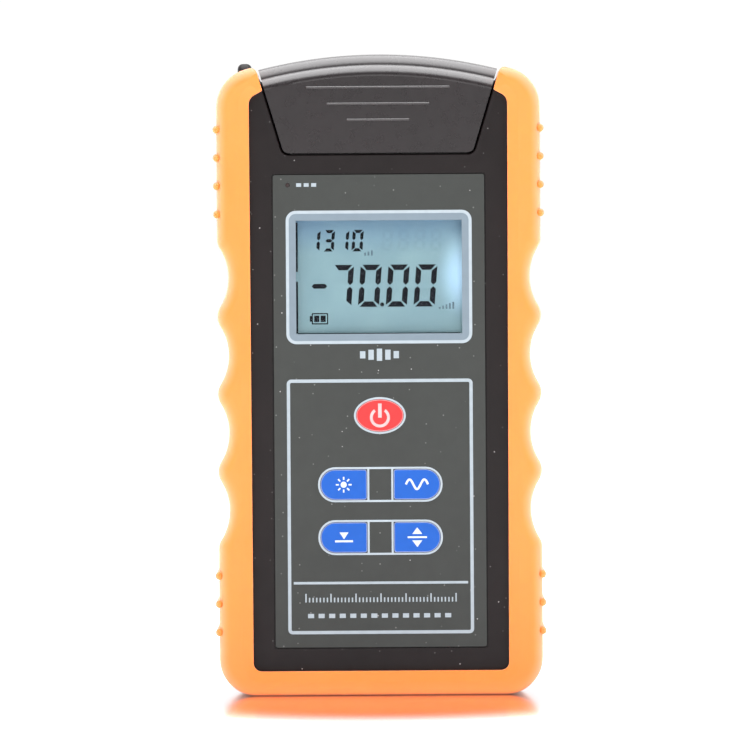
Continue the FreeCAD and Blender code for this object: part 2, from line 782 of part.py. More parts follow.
def crowned(face):
    """Sweeps a side view along the crown's circle, both ways from the middle."""
    half_angle = math.degrees(math.asin(case_half_width / crown_radius)) + crown_overrun
    turned = face.copy()
    turned.rotate(Vector(0, 0, crown_z), Y_AXIS, -half_angle)
    return turned.revolve(Vector(0, 0, crown_z), Y_AXIS, 2 * half_angle)


def make_lid():
    outer = crowned(lid_profile()).common(slab(lid_outline(), -far, far))
    for side in (-1, 1):
        start = hinge_barrel_half_length if side > 0 else -far
        end = far if side > 0 else -hinge_barrel_half_length
        outer = outer.cut(box(start, end, lid_rear_y, far, 0, far))
    skirt_z = plate_top + lid_skirt_clearance
    tongue_back = lid_front_y + lid_wall
    outer = outer.cut(box(-far, far, tongue_back, far, 0, skirt_z))
    inner_top = overall_height - lid_wall
    inner_rear = hinge_y - hinge_barrel_radius + hinge_web_sink
    low = lid_bottom_z - far / 10
    corners = [(tongue_back, low), (tongue_back, inner_top - roll_step - roll_upper_depth),
               (tongue_back + roll_upper_depth, inner_top), (inner_rear - lid_hollow_chamfer, inner_top),
               (inner_rear, inner_top - lid_hollow_chamfer), (inner_rear, low)]
    points = [Vector(0, y, z) for y, z in corners]
    inside = Part.Face(Part.makePolygon(points + points[:1]))
    hollow = crowned(inside).common(slab(lid_outline(-lid_side_thickness), -far, far))
    lid = outer.cut(hollow)
    lines = []
    for drop, half_length in grip_lines:
        z = overall_height - drop
        lines.append(rod("x", (lid_front_y, z), grip_line_radius, -half_length, half_length))
        for side in (-1, 1):
            lines.append(Part.makeSphere(grip_line_radius, Vector(side * half_length, lid_front_y, z)))
    barrel = rod("x", (hinge_y, hinge_z), hinge_barrel_radius, -hinge_barrel_half_length,
                 hinge_barrel_half_length)
    lid = fuse([lid, barrel] + lines)
    return lid.cut(rod("x", (hinge_y, hinge_z), hinge_pin_radius + hinge_bore_fit, -far, far))


def make_label():
    outline = rectangle(label_half_width, label_bottom_z, label_top_z, label_corner)
    label = slab(outline, label_front_y, label_back_y).cut(display_block(0.0, -far, far))
    for name in keys.values():
        label = label.cut(slab(key_outline(name, key_window_gap), -far, far))
    return label.cut(rod("y", (lamp_x, lamp_z), lamp_hole_radius, -far, far))


def make_key(name):
    cap = slab(key_outline(name), key_front_y, face_inner_y + key_flange_play)
    rims = [edge for edge in cap.Edges if in_plane_y(edge, key_front_y)]
    cap = cap.makeFillet(key_edge_round, rims)
    flange_y = face_inner_y + key_flange_play
    flange = slab(key_outline(name, key_flange), flange_y, flange_y + key_flange_thickness)
    plunger_y = board_front_y - switch_height - plunger_height
    stem = rod("y", key_centre(name), key_stem_radius, flange_y, plunger_y - key_switch_gap - key_travel)
    return fuse([cap, flange, stem])


def make_switches():
    switches = []
    for name in keys.values():
        x, z = key_centre(name)
        half = switch_size / 2
        body = box(x - half, x + half, board_front_y - switch_height, board_front_y, z - half, z + half)
        plunger_y = board_front_y - switch_height - plunger_height
        plunger = rod("y", (x, z), plunger_radius, plunger_y, board_front_y)
        switches.append(body.fuse(plunger).removeSplitter())
    return Part.makeCompound(switches)


def make_port(barrel_side):
    """Turned metal port: flange, outer barrel and, inside it, the sleeve for a 2.5 mm ferrule."""
    flange_top = plate_top + flange_thickness
    tail_low = bay_floor_bottom - tail_below_floor
    sleeve_top = flange_top + ferrule_sleeve_height
    barrel_top = flange_top + barrel_height
    diode_seat = tail_low + diode_can_height + tail_fit
    outline = [(ferrule_radius, diode_seat), (tail_bore_radius, diode_seat), (tail_bore_radius, tail_low),
               (tail_radius, tail_low), (tail_radius, plate_top), (flange_radius, plate_top),
               (flange_radius, flange_top), (barrel_radius, flange_top), (barrel_radius, barrel_top),
               (barrel_bore_radius, barrel_top), (barrel_bore_radius, flange_top),
               (ferrule_sleeve_radius, flange_top), (ferrule_sleeve_radius, sleeve_top),
               (ferrule_radius, sleeve_top)]
    points = [Vector(r, 0, z) for r, z in outline]
    face = Part.Face(Part.makePolygon(points + points[:1]))
    port = face.revolve(Vector(0, 0, 0), Z_AXIS, 360)
    port.translate(Vector(barrel_side * port_x, 0, 0))
    return port


def make_nuts():
    nuts = []
    for side in (-1, 1):
        radius = nut_across_flats / math.sqrt(3)
        corners = [Vector(radius * math.cos(math.radians(60 * i)), radius * math.sin(math.radians(60 * i)),
                          bay_floor_bottom - nut_thickness) for i in range(6)]
        nut = Part.Face(Part.makePolygon(corners + corners[:1])).extrude(Vector(0, 0, nut_thickness))
        nut = nut.cut(rod("z", (0, 0), tail_radius + screw_play, 0, far))
        nut.translate(Vector(side * port_x, 0, 0))
        nuts.append(nut)
    return Part.makeCompound(nuts)


def make_photodiode():
    low = bay_floor_bottom - tail_below_floor
    can = rod("z", (port_x, 0.0), diode_can_radius, low, low + diode_can_height)
    rim = rod("z", (port_x, 0.0), diode_rim_radius, low - diode_rim_thickness, low)
    leads = []
    for i in range(3):
        angle = math.radians(90 + 120 * i)
        centre = (port_x + lead_circle * math.cos(angle), lead_circle * math.sin(angle))
        leads.append(rod("z", centre, lead_radius, low - diode_rim_thickness - lead_length, low))
    return fuse([can, rim] + leads)


def make_laser():
    low = bay_floor_bottom - tail_below_floor
    nose = rod("z", (-port_x, 0.0), laser_nose_radius, low, low + laser_nose_length)
    body = rod("z", (-port_x, 0.0), laser_radius, low - laser_length, low)
    return fuse([nose, body])


def make_battery(x, nub_up):
    """An AA cell standing in the bay, its nub up or down."""
    low = bay_low_z + (spring_reach if nub_up else contact_thickness)
    high = low + battery_length
    can_low = low if nub_up else low + battery_nub_height
    can = rod("z", (x, battery_y), battery_radius, can_low, can_low + battery_length - battery_nub_height)
    nub = rod("z", (x, battery_y), battery_nub_radius, low, high)
    rims = [edge for edge in can.Edges if len(edge.Vertexes) == 1]
    return fuse([can.makeFillet(battery_end_round, rims), nub])


def make_contacts():
    contacts = []
    for i, x in enumerate(battery_xs()):
        nub_up = i % 2 == 0
        z0 = bay_high_z - contact_thickness if nub_up else bay_low_z
        contacts.append(box(x - contact_half_width, x + contact_half_width, battery_y - contact_half_width,
                            battery_y + contact_half_width, z0, z0 + contact_thickness))
    return Part.makeCompound(contacts)


def make_springs():
    """Bowed leaf springs at the flat ends of the cells, folded from sheet."""
    springs = []
    half = contact_half_width
    for i, x in enumerate(battery_xs()):
        nub_up = i % 2 == 0
        base = bay_low_z if nub_up else bay_high_z
        gap = spring_reach if nub_up else bay_high_z - (bay_low_z + contact_thickness + battery_length)
        sign = 1.0 if nub_up else -1.0
        plate_z = sorted((base, base + sign * spring_sheet))
        plate = box(x - half, x + half, battery_y - half, battery_y + half, plate_z[0], plate_z[1])
        bows = []
        for sheet in (0.0, spring_sheet):
            bows.append((Vector(0, battery_y - half + sheet, base),
                         Vector(0, battery_y, base + sign * (gap - spring_tip_gap - sheet)),
                         Vector(0, battery_y + half - sheet, base)))
        outer, inner = bows
        edges = [arc(*outer), arc(*inner), line(outer[0], inner[0]), line(inner[2], outer[2])]
        leaf = Part.Face(Part.Wire(Part.__sortEdges__(edges)))
        leaf_half = half * spring_leaf_share
        leaf.translate(Vector(x - leaf_half, 0, 0))
        leaf = leaf.extrude(Vector(2 * leaf_half, 0, 0))
        springs.append(fuse([plate, leaf]))
    return Part.makeCompound(springs)


def make_case_screws():
    screws = []
    seat = rear_y - case_screw_sink - case_screw_head_height
    for z in case_screw_zs:
        for side in (-1, 1):
            centre = (side * case_screw_x, z)
            head = rod("y", centre, case_screw_head_radius, seat, seat + case_screw_head_height)
            shank = rod("y", centre, case_screw_radius, case_screw_tip(), seat)
            screw = fuse([head, shank])
            slot = case_screw_slot_width / 2
            reach = case_screw_head_radius * case_screw_slot_share
            slot_floor = seat + case_screw_head_height - case_screw_slot_depth
            x = side * case_screw_x
            for wide, tall in ((slot, reach), (reach, slot)):
                screw = screw.cut(box(x - wide, x + wide, slot_floor, far, z - tall, z + tall))
            screws.append(screw)
    return Part.makeCompound(screws)


def make_board_screws():
    screws = []
    for x, z in board_posts():
        head = rod("y", (x, z), board_screw_head_radius, board_rear_y, board_rear_y + board_screw_head_height)
        shank = rod("y", (x, z), board_screw_radius, board_rear_y - board_screw_length, board_rear_y)
        screws.append(fuse([head, shank]))
    return Part.makeCompound(screws)


def make_board():
    board = box(-board_half_width, board_half_width, board_front_y, board_rear_y, board_low_z, board_high_z)
    for x, z in board_posts():
        board = board.cut(rod("y", (x, z), board_screw_radius + screw_play, -far, far))
    return board


def make_chips():
    middle = (display_low_z + display_high_z) / 2
    blocks = []
    for x, rise, half_width, half_height in chips:
        z = middle + rise
        blocks.append(box(x - half_width, x + half_width, board_rear_y, board_rear_y + chip_height,
                          z - half_height, z + half_height))
    return Part.makeCompound(blocks)


def make_pane():
    return display_block(pane_overlap, label_back_y, label_back_y + pane_thickness)


def display_block(grow, y0, y1):
    return slab(rectangle(display_half_width, display_low_z, display_high_z, display_corner, grow), y0, y1)


def make_panel():
    return display_block(panel_margin, face_inner_y, face_inner_y + panel_thickness)


def make_backlight():
    return display_block(panel_margin, face_inner_y + panel_thickness, board_front_y)


def make_lcd_frame():
    outer = display_block(panel_margin + frame_play + frame_wall, face_inner_y, board_front_y)
    return outer.cut(display_block(panel_margin + frame_play, -far, far))


def make_lamp():
    body = rod("y", (lamp_x, lamp_z), lamp_body_radius, face_inner_y, board_front_y)
    nose = rod("y", (lamp_x, lamp_z), lamp_hole_radius - lamp_nose_fit, label_front_y + lamp_nose_sink,
               face_inner_y)
    return fuse([body, nose])


def make_port_plate():
    plate = box(-port_plate_half_width, port_plate_half_width, lid_front_y + lid_wall + tongue_play,
                rear_inner_y, bay_floor_top, plate_top)
    for tool in port_holes():
        plate = plate.cut(tool)
    return plate


def make_eye():
    left, right = eye_x - eye_width / 2, eye_x + eye_width / 2
    eye = fuse([rod("x", (eye_y, eye_z), eye_radius, left, right),
                box(left, right, eye_y - eye_radius, eye_y + eye_radius, eye_foot_z, eye_z)])
    rims = [edge for edge in eye.Edges
            if in_plane_x(edge, left) or in_plane_x(edge, right)]
    rims = [edge for edge in rims if edge.CenterOfMass.z > eye_foot_z + cut_past]
    eye = eye.makeFillet(eye_round, rims).cut(case_block(-far, rear_y))
    return eye.cut(rod("x", (eye_y, eye_z), eye_hole_radius, -far, far))


def make_hinge_pin():
    return rod("x", (hinge_y, hinge_z), hinge_pin_radius, -hinge_pin_half_length, hinge_pin_half_length)


def build():
    """Every node of the meter by name."""
    nodes = {
        "rubber_boot": make_boot(),
        "front_housing": make_front_housing(),
        "rear_housing": make_rear_housing(),
        "battery_door": make_battery_door(),
        "port_lid": make_lid(),
        "lid_hinge_pin": make_hinge_pin(),
        "face_label": make_label(),
        "display_window": make_pane(),
        "lcd_panel": make_panel(),
        "backlight": make_backlight(),
        "lcd_frame": make_lcd_frame(),
        "main_board": make_board(),
        "board_chips": make_chips(),
        "board_screws": make_board_screws(),
        "key_switches": make_switches(),
        "indicator_lamp": make_lamp(),
        "port_plate": make_port_plate(),
        "detector_adapter": make_port(1),
        "locator_adapter": make_port(-1),
        "adapter_nuts": make_nuts(),
        "photodiode": make_photodiode(),
        "laser_module": make_laser(),
        "battery_contacts": make_contacts(),
        "battery_springs": make_springs(),
        "case_screws": make_case_screws(),
        "strap_eye": make_eye(),
    }
    for node, name in keys.items():
        nodes[node] = make_key(name)
    for i, x in enumerate(battery_xs()):
        nodes["battery_%d" % (i + 1)] = make_battery(x, i % 2 == 0)
    return nodes


os.makedirs("parts", exist_ok=True)
for node, shape in build().items():
    solids = shape.Solids
    valid = all(solid.isValid() for solid in solids)
    print("%-18s solids %d valid %s volume %.1f" % (node, len(solids), valid, sum(s.Volume for s in solids)))
    if len(solids) == 1:
        shape = solids[0]
    shape.exportStep("parts/%s.step" % node)
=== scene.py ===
"""Looks of a handheld optical power meter: its finishes, the print on its face and its studio."""

import json
import math

import bmesh
import bpy
from mathutils import Matrix, Vector

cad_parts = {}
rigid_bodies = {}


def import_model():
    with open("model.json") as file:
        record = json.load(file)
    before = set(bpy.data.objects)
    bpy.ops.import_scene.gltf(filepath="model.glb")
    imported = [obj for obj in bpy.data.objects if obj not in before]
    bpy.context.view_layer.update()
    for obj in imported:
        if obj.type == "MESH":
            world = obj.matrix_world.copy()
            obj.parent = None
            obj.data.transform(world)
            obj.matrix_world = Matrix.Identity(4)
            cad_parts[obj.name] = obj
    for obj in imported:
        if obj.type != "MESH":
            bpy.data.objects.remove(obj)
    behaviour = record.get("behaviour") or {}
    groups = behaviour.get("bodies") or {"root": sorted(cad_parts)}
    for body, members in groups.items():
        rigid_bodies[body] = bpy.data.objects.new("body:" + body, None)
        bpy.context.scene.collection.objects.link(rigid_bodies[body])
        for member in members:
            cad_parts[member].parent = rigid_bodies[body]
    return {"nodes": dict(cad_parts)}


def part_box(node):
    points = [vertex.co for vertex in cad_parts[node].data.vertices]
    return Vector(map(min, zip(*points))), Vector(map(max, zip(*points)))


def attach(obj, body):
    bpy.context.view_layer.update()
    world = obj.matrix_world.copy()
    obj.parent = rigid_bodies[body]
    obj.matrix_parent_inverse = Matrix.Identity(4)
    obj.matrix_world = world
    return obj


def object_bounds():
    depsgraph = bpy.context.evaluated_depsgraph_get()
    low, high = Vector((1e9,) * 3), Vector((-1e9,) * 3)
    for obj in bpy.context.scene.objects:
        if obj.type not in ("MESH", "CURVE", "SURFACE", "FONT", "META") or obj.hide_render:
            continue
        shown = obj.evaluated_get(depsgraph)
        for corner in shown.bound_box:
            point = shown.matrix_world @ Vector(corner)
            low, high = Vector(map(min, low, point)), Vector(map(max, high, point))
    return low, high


bl_info = {
    "name": "Optical power meter",
    "version": (1, 0, 0),
    "blender": (4, 5, 0),
    "location": "View3D > Sidebar > Power Meter",
    "description": "Finishes, face print, display picture and studio of a handheld optical power meter",
    "category": "Object",
}

for leftover in list(bpy.data.objects):
    bpy.data.objects.remove(leftover)
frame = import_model()
cad_low, cad_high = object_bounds()

MM = 0.001
PHOTO_SIZE = 750

LABEL_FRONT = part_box("face_label")[0].y
PANEL_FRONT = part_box("lcd_panel")[0].y
KEY_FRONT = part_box("key_power")[0].y
KEY_BODIES = {
    "key_power": "key_power_cap",
    "key_locator": "key_locator_cap",
    "key_wavelength": "key_wavelength_cap",
    "key_reference": "key_reference_cap",
    "key_unit": "key_unit_cap",
}
PANE_OVERLAP = 1.2 * MM  # how far the display's pane reaches behind the label on each side

FAINT_CASE_DUST = (0.10, 0.095, 0.095)
FAINT_LABEL_DUST = (0.17, 0.17, 0.165)

# Display digits: width, height, stroke and gap in millimetres, and the segments that each lights
BIG_DIGIT = (5.94, 11.8, 1.52, 0.21)
SMALL_DIGIT = (3.1, 6.04, 0.9, 0.13)
POINT_RADIUS = 0.58 * MM
LIT = {"0": "abcdef", "1": "bc", "3": "abcdg", "7": "abc", "8": "abcdefg"}


def linear(red, green, blue):
    """A screen colour from 0 to 255 as the linear colour that a shader takes."""
    channels = []
    for value in (red, green, blue):
        share = value / 255
        channels.append(share / 12.92 if share <= 0.04045 else ((share + 0.055) / 1.055) ** 2.4)
    return tuple(channels)


def scaled(colour, strength):
    """A colour made brighter or darker."""
    return tuple(strength * value for value in colour)


def colour_property(name, description, default):
    return bpy.props.FloatVectorProperty(name=name, description=description, default=default, size=3,
                                         min=0.0, max=1.0, subtype="COLOR")


def length_property(name, description, default):
    return bpy.props.FloatProperty(name=name, description=description, default=default, min=0.0,
                                   unit="LENGTH", subtype="DISTANCE")


def value_property(name, description, default, high=10.0):
    return bpy.props.FloatProperty(name=name, description=description, default=default, min=0.0, max=high)


class MeterFinishes(bpy.types.PropertyGroup):
    """Colours of the moulded and printed parts, and the painted highlights and shade laid on them."""
    boot: colour_property("Boot", "Colour of the rubber boot", (0.86, 0.226, 0.046))
    boot_shade: colour_property("Boot shade", "Colour of the boot's darker patches", (0.84, 0.210, 0.036))
    # Painted highlight: paler colour laid on the boot's outer sides, where they turn outwards and upwards,
    # for the light from the sides and above.
    boot_side_highlight: colour_property("Boot bloom", "Paler colour of the boot's outer sides", (0.88, 0.31, 0.16))
    # Painted shade: deeper colour laid on the boot's inner edge, where it meets the housing.
    boot_crease_shade: colour_property("Boot inner", "Deeper colour of the boot's inner edge", (0.85, 0.17, 0.012))
    case: colour_property("Case", "Colour of the case plastic", (0.0056, 0.0034, 0.0036))
    lid: colour_property("Lid", "Colour of the lid plastic", (0.0060, 0.0032, 0.0040))
    # Painted highlight: paler colour laid where the lid faces up, for the light above.
    lid_top_highlight: colour_property("Lid bloom", "Paler colour where the lid faces up", (0.10, 0.095, 0.098))
    label: colour_property("Label", "Colour of the face label", (0.0155, 0.0180, 0.0160))
    ink: colour_property("Ink", "Colour of the lines printed on the label", (0.285, 0.33, 0.365))
    band: colour_property("Band", "Colour of the band round the display", (0.137, 0.180, 0.217))
    red_key: colour_property("Red key", "Colour of the power key", (0.72, 0.026, 0.027))
    blue_key: colour_property("Blue keys", "Colour of the four function keys", (0.002, 0.076, 0.38))
    dust: colour_property("Dust", "Colour of the dust specks on the face", (0.62, 0.60, 0.60))


class MeterPrint(bpy.types.PropertyGroup):
    """Sizes of the print on the label."""
    ink_height: length_property("Ink height", "How far the ink stands on the label", 0.03 * MM)
    border_stroke: length_property("Border stroke", "Width of the display's outline", 0.85 * MM)
    border_corner: length_property("Border corner", "Corner radius of the display's outline", 2.8 * MM)
    border_half_width: length_property("Border half width", "Half the width of the display's outline",
                                       26.0 * MM)
    border_low: length_property("Border low", "Height of the outline's lower edge", 98.4 * MM)
    border_high: length_property("Border high", "Height of the outline's upper edge", 135.7 * MM)
    pad_stroke: length_property("Keypad stroke", "Width of the frame round the keys", 0.92 * MM)
    pad_corner: length_property("Keypad corner", "Corner radius of the frame round the keys", 1.3 * MM)
    pad_low: length_property("Keypad low", "Height of the frame's lower edge", 17.2 * MM)
    pad_high: length_property("Keypad high", "Height of the frame's upper edge", 88.5 * MM)
    divider_height: length_property("Divider height", "Height of the line under the keys", 31.5 * MM)
    divider_half_width: length_property("Divider half width", "Half the length of that line", 24.4 * MM)
    divider_stroke: length_property("Divider stroke", "Width of that line", 0.7 * MM)
    key_flange: length_property("Key flange", "From a key's cap to the edge of its hidden flange", 0.9 * MM)
    key_play: length_property("Key play", "From a key's cap to the edge of its opening", 0.15 * MM)
    key_stroke: length_property("Key outline stroke", "Width of a key's outline", 0.57 * MM)


class MeterDisplay(bpy.types.PropertyGroup):
    """Sizes and colours of the display's picture."""
    segment_height: length_property("Segment height", "How far a segment stands on the glass", 0.02 * MM)
    slant: bpy.props.FloatProperty(name="Slant", description="Lean of the digits",
                                   default=math.radians(4.3), min=0.0, max=0.5, subtype="ANGLE")
    segment: colour_property("Segment", "Colour of a segment that is on", linear(9, 10, 15))
    ghost: value_property("Ghost", "Brightness of a segment that is off, as a share of the glass's", 0.93)
    glass_top: colour_property("Glass top", "Colour of the glass near its upper edge", linear(73, 104, 126))
    glass: colour_property("Glass", "Colour of the glass at its middle", linear(92, 120, 128))
    glow: colour_property("Glow", "Colour beside the lamp at the right-hand edge", linear(147, 182, 208))


class MeterStudio(bpy.types.PropertyGroup):
    """Camera, lights and floor."""
    distance: length_property("Distance", "From the camera to the face", 2.2)
    elevation: bpy.props.FloatProperty(name="Elevation", description="Angle above the horizon",
                                       default=math.radians(0.7), subtype="ANGLE")
    roll: bpy.props.FloatProperty(name="Roll", description="Turn of the camera about its own axis",
                                  default=math.radians(-0.37), subtype="ANGLE")
    view_width: length_property("View width", "Width of the picture at the face", PHOTO_SIZE * 0.2794 * MM)
    view_x: bpy.props.FloatProperty(name="View x", description="What the picture is centred on, across",
                                    default=-1.29 * MM, unit="LENGTH")
    view_z: length_property("View z", "What the picture is centred on, upwards", 89.67 * MM)
    backdrop: value_property("Backdrop", "Brightness of the white backdrop in the picture", 1.02)
    sky_front: value_property("Sky in front", "Brightness of the surroundings on the camera's side", 0.38)
    sky_rear: value_property("Sky behind", "Brightness of the surroundings above and behind", 1.15)
    overhead: value_property("Overhead", "Power of the light above, in watts", 30.0, 200.0)
    side_light: value_property("Side lights", "Power of each light beside the object, in watts", 1.5, 200.0)
    floor_glow: value_property("Floor glow", "How far the floor is lit up away from the object", 0.45)
    floor_bounce: value_property("Floor bounce", "Light that the floor throws back on the object", 1.1)
    floor: colour_property("Floor", "Colour of the floor", (0.93, 0.93, 0.93))


def set_range(node, low, high, start, end):
    """Makes a map range node map low..high to start..end."""
    for socket, number in zip(("From Min", "From Max", "To Min", "To Max"), (low, high, start, end)):
        node.inputs[socket].default_value = number


class Finish:
    """A node material in the making: a principled shader and the textures that feed it."""

    def __init__(self, name, colour, roughness=0.5):
        self.material = bpy.data.materials.new(name)
        self.material.use_nodes = True
        self.tree = self.material.node_tree
        self.tree.nodes.clear()
        output = self.tree.nodes.new("ShaderNodeOutputMaterial")
        self.shader = self.tree.nodes.new("ShaderNodeBsdfPrincipled")
        self.tree.links.new(self.shader.outputs["BSDF"], output.inputs["Surface"])
        coordinates = self.tree.nodes.new("ShaderNodeTexCoord")
        self.place = coordinates.outputs["Object"]
        self.turned = coordinates.outputs["Normal"]
        self.colour = (*colour, 1.0)
        self.bumped = None
        self.set("Base Color", self.colour)
        self.set("Roughness", roughness)

    def set(self, socket, value):
        self.shader.inputs[socket].default_value = value

    def feed(self, socket, source):
        self.tree.links.new(source, self.shader.inputs[socket])

    def put(self, target, value):
        """Links an output to an input, or sets the input to a constant."""
        if isinstance(value, bpy.types.NodeSocket):
            self.tree.links.new(value, target)
        else:
            target.default_value = value

    def mapped(self, scale, location=(0.0, 0.0, 0.0)):
        """The place on the piece, scaled and then moved."""
        node = self.tree.nodes.new("ShaderNodeMapping")
        node.inputs["Scale"].default_value = scale
        node.inputs["Location"].default_value = location
        self.tree.links.new(self.place, node.inputs["Vector"])
        return node.outputs["Vector"]

    def noise(self, scale, detail, place=None):
        node = self.tree.nodes.new("ShaderNodeTexNoise")
        node.inputs["Scale"].default_value = scale
        node.inputs["Detail"].default_value = detail
        self.tree.links.new(place or self.place, node.inputs["Vector"])
        return node.outputs["Fac"]

    def ramp(self, value, low, high, start=0.0, end=1.0):
        """value mapped smoothly from low..high to start..end."""
        node = self.tree.nodes.new("ShaderNodeMapRange")
        node.interpolation_type = "SMOOTHSTEP"
        self.tree.links.new(value, node.inputs["Value"])
        set_range(node, low, high, start, end)
        return node.outputs["Result"]

    def math(self, operation, first, second):
        node = self.tree.nodes.new("ShaderNodeMath")
        node.operation = operation
        self.put(node.inputs[0], first)
        self.put(node.inputs[1], second)
        return node.outputs["Value"]

    def vector_math(self, operation, *vectors):
        """A number worked out from one or two vectors, such as a length or a dot product."""
        node = self.tree.nodes.new("ShaderNodeVectorMath")
        node.operation = operation
        for target, vector in zip(node.inputs, vectors):
            self.tree.links.new(vector, target)
        return node.outputs["Value"]

    def axis(self, name, place=None):
        """One coordinate of the place on the piece."""
        node = self.tree.nodes.new("ShaderNodeSeparateXYZ")
        self.tree.links.new(place or self.place, node.inputs["Vector"])
        return node.outputs[name]

    def front_cells(self, scale):
        """On the front face, the distance from the nearest scattered point, and a colour for each."""
        flat = self.tree.nodes.new("ShaderNodeCombineXYZ")
        self.tree.links.new(self.axis("X"), flat.inputs["X"])
        self.tree.links.new(self.axis("Z"), flat.inputs["Y"])
        node = self.tree.nodes.new("ShaderNodeTexVoronoi")
        node.voronoi_dimensions = "2D"
        node.inputs["Scale"].default_value = scale
        self.tree.links.new(flat.outputs["Vector"], node.inputs["Vector"])
        return node.outputs["Distance"], node.outputs["Color"]

    def blend(self, share, colour):
        """Lays a colour over the base colour where share is 1."""
        node = self.tree.nodes.new("ShaderNodeMix")
        node.data_type = "RGBA"
        self.put(node.inputs["Factor"], share)
        self.put(node.inputs["A"], self.colour)
        self.put(node.inputs["B"], (*colour, 1.0))
        self.colour = node.outputs["Result"]
        self.feed("Base Color", self.colour)

    def relief(self, height, strength, distance):
        """Adds a bump, over the bumps added before."""
        node = self.tree.nodes.new("ShaderNodeBump")
        node.inputs["Strength"].default_value = strength
        node.inputs["Distance"].default_value = distance
        self.tree.links.new(height, node.inputs["Height"])
        if self.bumped:
            self.tree.links.new(self.bumped, node.inputs["Normal"])
        self.bumped = node.outputs["Normal"]
        self.feed("Normal", self.bumped)

    def grain(self, size, strength, distance):
        """Fine moulded grain with features of about that size."""
        self.relief(self.noise(1.0 / size, 2.0), strength, distance)

    def mottle(self, size, shade, amount):
        """Slow change of colour across the piece."""
        self.blend(self.ramp(self.noise(1.0 / size, 2.0), 0.35, 0.7, 0.0, amount), shade)

    def uneven_gloss(self, size, low, high):
        """Roughness that changes between two values across the piece."""
        self.feed("Roughness", self.ramp(self.noise(1.0 / size, 3.0), 0.3, 0.7, low, high))

    def dust(self, colour, pitch, radius, share):
        """Sparse round specks on the front face, one in some of the cells of a loose grid."""
        distance, random_colour = self.front_cells(1.0 / pitch)
        speck = self.ramp(distance, radius / pitch * 0.5, radius / pitch, 1.0, 0.0)
        picked = self.ramp(self.axis("X", random_colour), 1.0 - share, 1.0, 0.0, 0.8)
        self.blend(self.math("MULTIPLY", speck, picked), colour)


def dress(material, *nodes):
    """Gives CAD nodes a finish."""
    for name in nodes:
        piece = frame["nodes"][name]
        for slot in piece.material_slots:
            slot.material = material


def deselect():
    bpy.ops.object.select_all(action="DESELECT")


def begin_edit(piece):
    """Opens a mesh for editing with nothing selected."""
    deselect()
    piece.select_set(True)
    bpy.context.view_layer.objects.active = piece
    bpy.ops.object.mode_set(mode="EDIT")
    bpy.ops.mesh.select_mode(type="VERT")
    bpy.ops.mesh.select_all(action="DESELECT")


def end_edit():
    bpy.ops.object.mode_set(mode="OBJECT")


def select_faces(piece, test):
    """Selects the faces of the open mesh whose middle passes the test."""
    bpy.ops.mesh.select_mode(type="FACE")
    bpy.ops.mesh.select_all(action="DESELECT")
    edited = bmesh.from_edit_mesh(piece.data)
    for face in edited.faces:
        if test(face.calc_center_median()):
            face.select_set(True)
    bmesh.update_edit_mesh(piece.data)


def add_plate(name, low, high, y):
    """A rectangle that faces the front, from corner low to corner high, each (x, z)."""
    deselect()
    centre = ((low[0] + high[0]) / 2, y, (low[1] + high[1]) / 2)
    bpy.ops.mesh.primitive_plane_add(size=1.0, location=centre, rotation=(math.pi / 2, 0.0, 0.0))
    plate = bpy.context.object
    plate.name = name
    plate.scale = (high[0] - low[0], high[1] - low[1], 1.0)
    bpy.ops.object.transform_apply(location=True, rotation=True, scale=True)
    return plate


def add_disc(name, centre, radii, y, count):
    """A filled ellipse that faces the front; radii are its half width and half height."""
    deselect()
    bpy.ops.mesh.primitive_circle_add(vertices=count, radius=1.0, fill_type="NGON",
                                      location=(centre[0], y, centre[1]),
                                      rotation=(math.pi / 2, 0.0, 0.0))
    disc = bpy.context.object
    disc.name = name
    disc.scale = (radii[0], radii[1], 1.0)
    bpy.ops.object.transform_apply(location=True, rotation=True, scale=True)
    return disc


def add_flat(name, corners, y):
    """A flat face with these (x, z) corners, made from a disc that has as many."""
    flat = add_disc(name, (0.0, 0.0), (1.0, 1.0), y, len(corners))
    for vertex, (x, z) in zip(flat.data.vertices, corners):
        vertex.co = (x, y, z)
    return flat


def round_corners(piece, radius):
    """Rounds every corner of a flat face."""
    begin_edit(piece)
    bpy.ops.mesh.select_all(action="SELECT")
    bpy.ops.mesh.bevel(affect="VERTICES", offset=radius, segments=8)
    end_edit()


def hollow(piece, stroke):
    """Leaves only a rim of that width of a flat face."""
    begin_edit(piece)
    bpy.ops.mesh.select_all(action="SELECT")
    bpy.ops.mesh.inset(thickness=stroke, depth=0.0)
    bpy.ops.mesh.delete(type="FACE")
    end_edit()


def thicken(piece, height):
    """Raises flat faces towards the front, into a closed solid."""
    begin_edit(piece)
    bpy.ops.mesh.select_all(action="SELECT")
    bpy.ops.mesh.extrude_region_move(TRANSFORM_OT_translate={"value": (0.0, -height, 0.0)})
    bpy.ops.mesh.select_all(action="SELECT")
    bpy.ops.mesh.normals_make_consistent(inside=False)
    end_edit()


def join(pieces, name):
    """Makes one object of several."""
    deselect()
    for piece in pieces:
        piece.select_set(True)
    bpy.context.view_layer.objects.active = pieces[0]
    if len(pieces) > 1:
        bpy.ops.object.join()
    pieces[0].name = name
    pieces[0].data.name = name
    return pieces[0]


def settle(piece, material, body):
    """Gives a finished piece its material and its place in the assembly."""
    piece.data.materials.clear()
    piece.data.materials.append(material)
    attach(piece, body)


def rim(name, low, high, corner, stroke, y):
    """A flat frame: a rounded rectangle with only its rim left."""
    piece = add_plate(name, low, high, y)
    round_corners(piece, corner)
    hollow(piece, stroke)
    return piece


def cad_middle(node):
    """Middle of a node's box, in the plane of the face."""
    low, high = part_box(node)
    return (low.x + high.x) / 2, (low.z + high.z) / 2


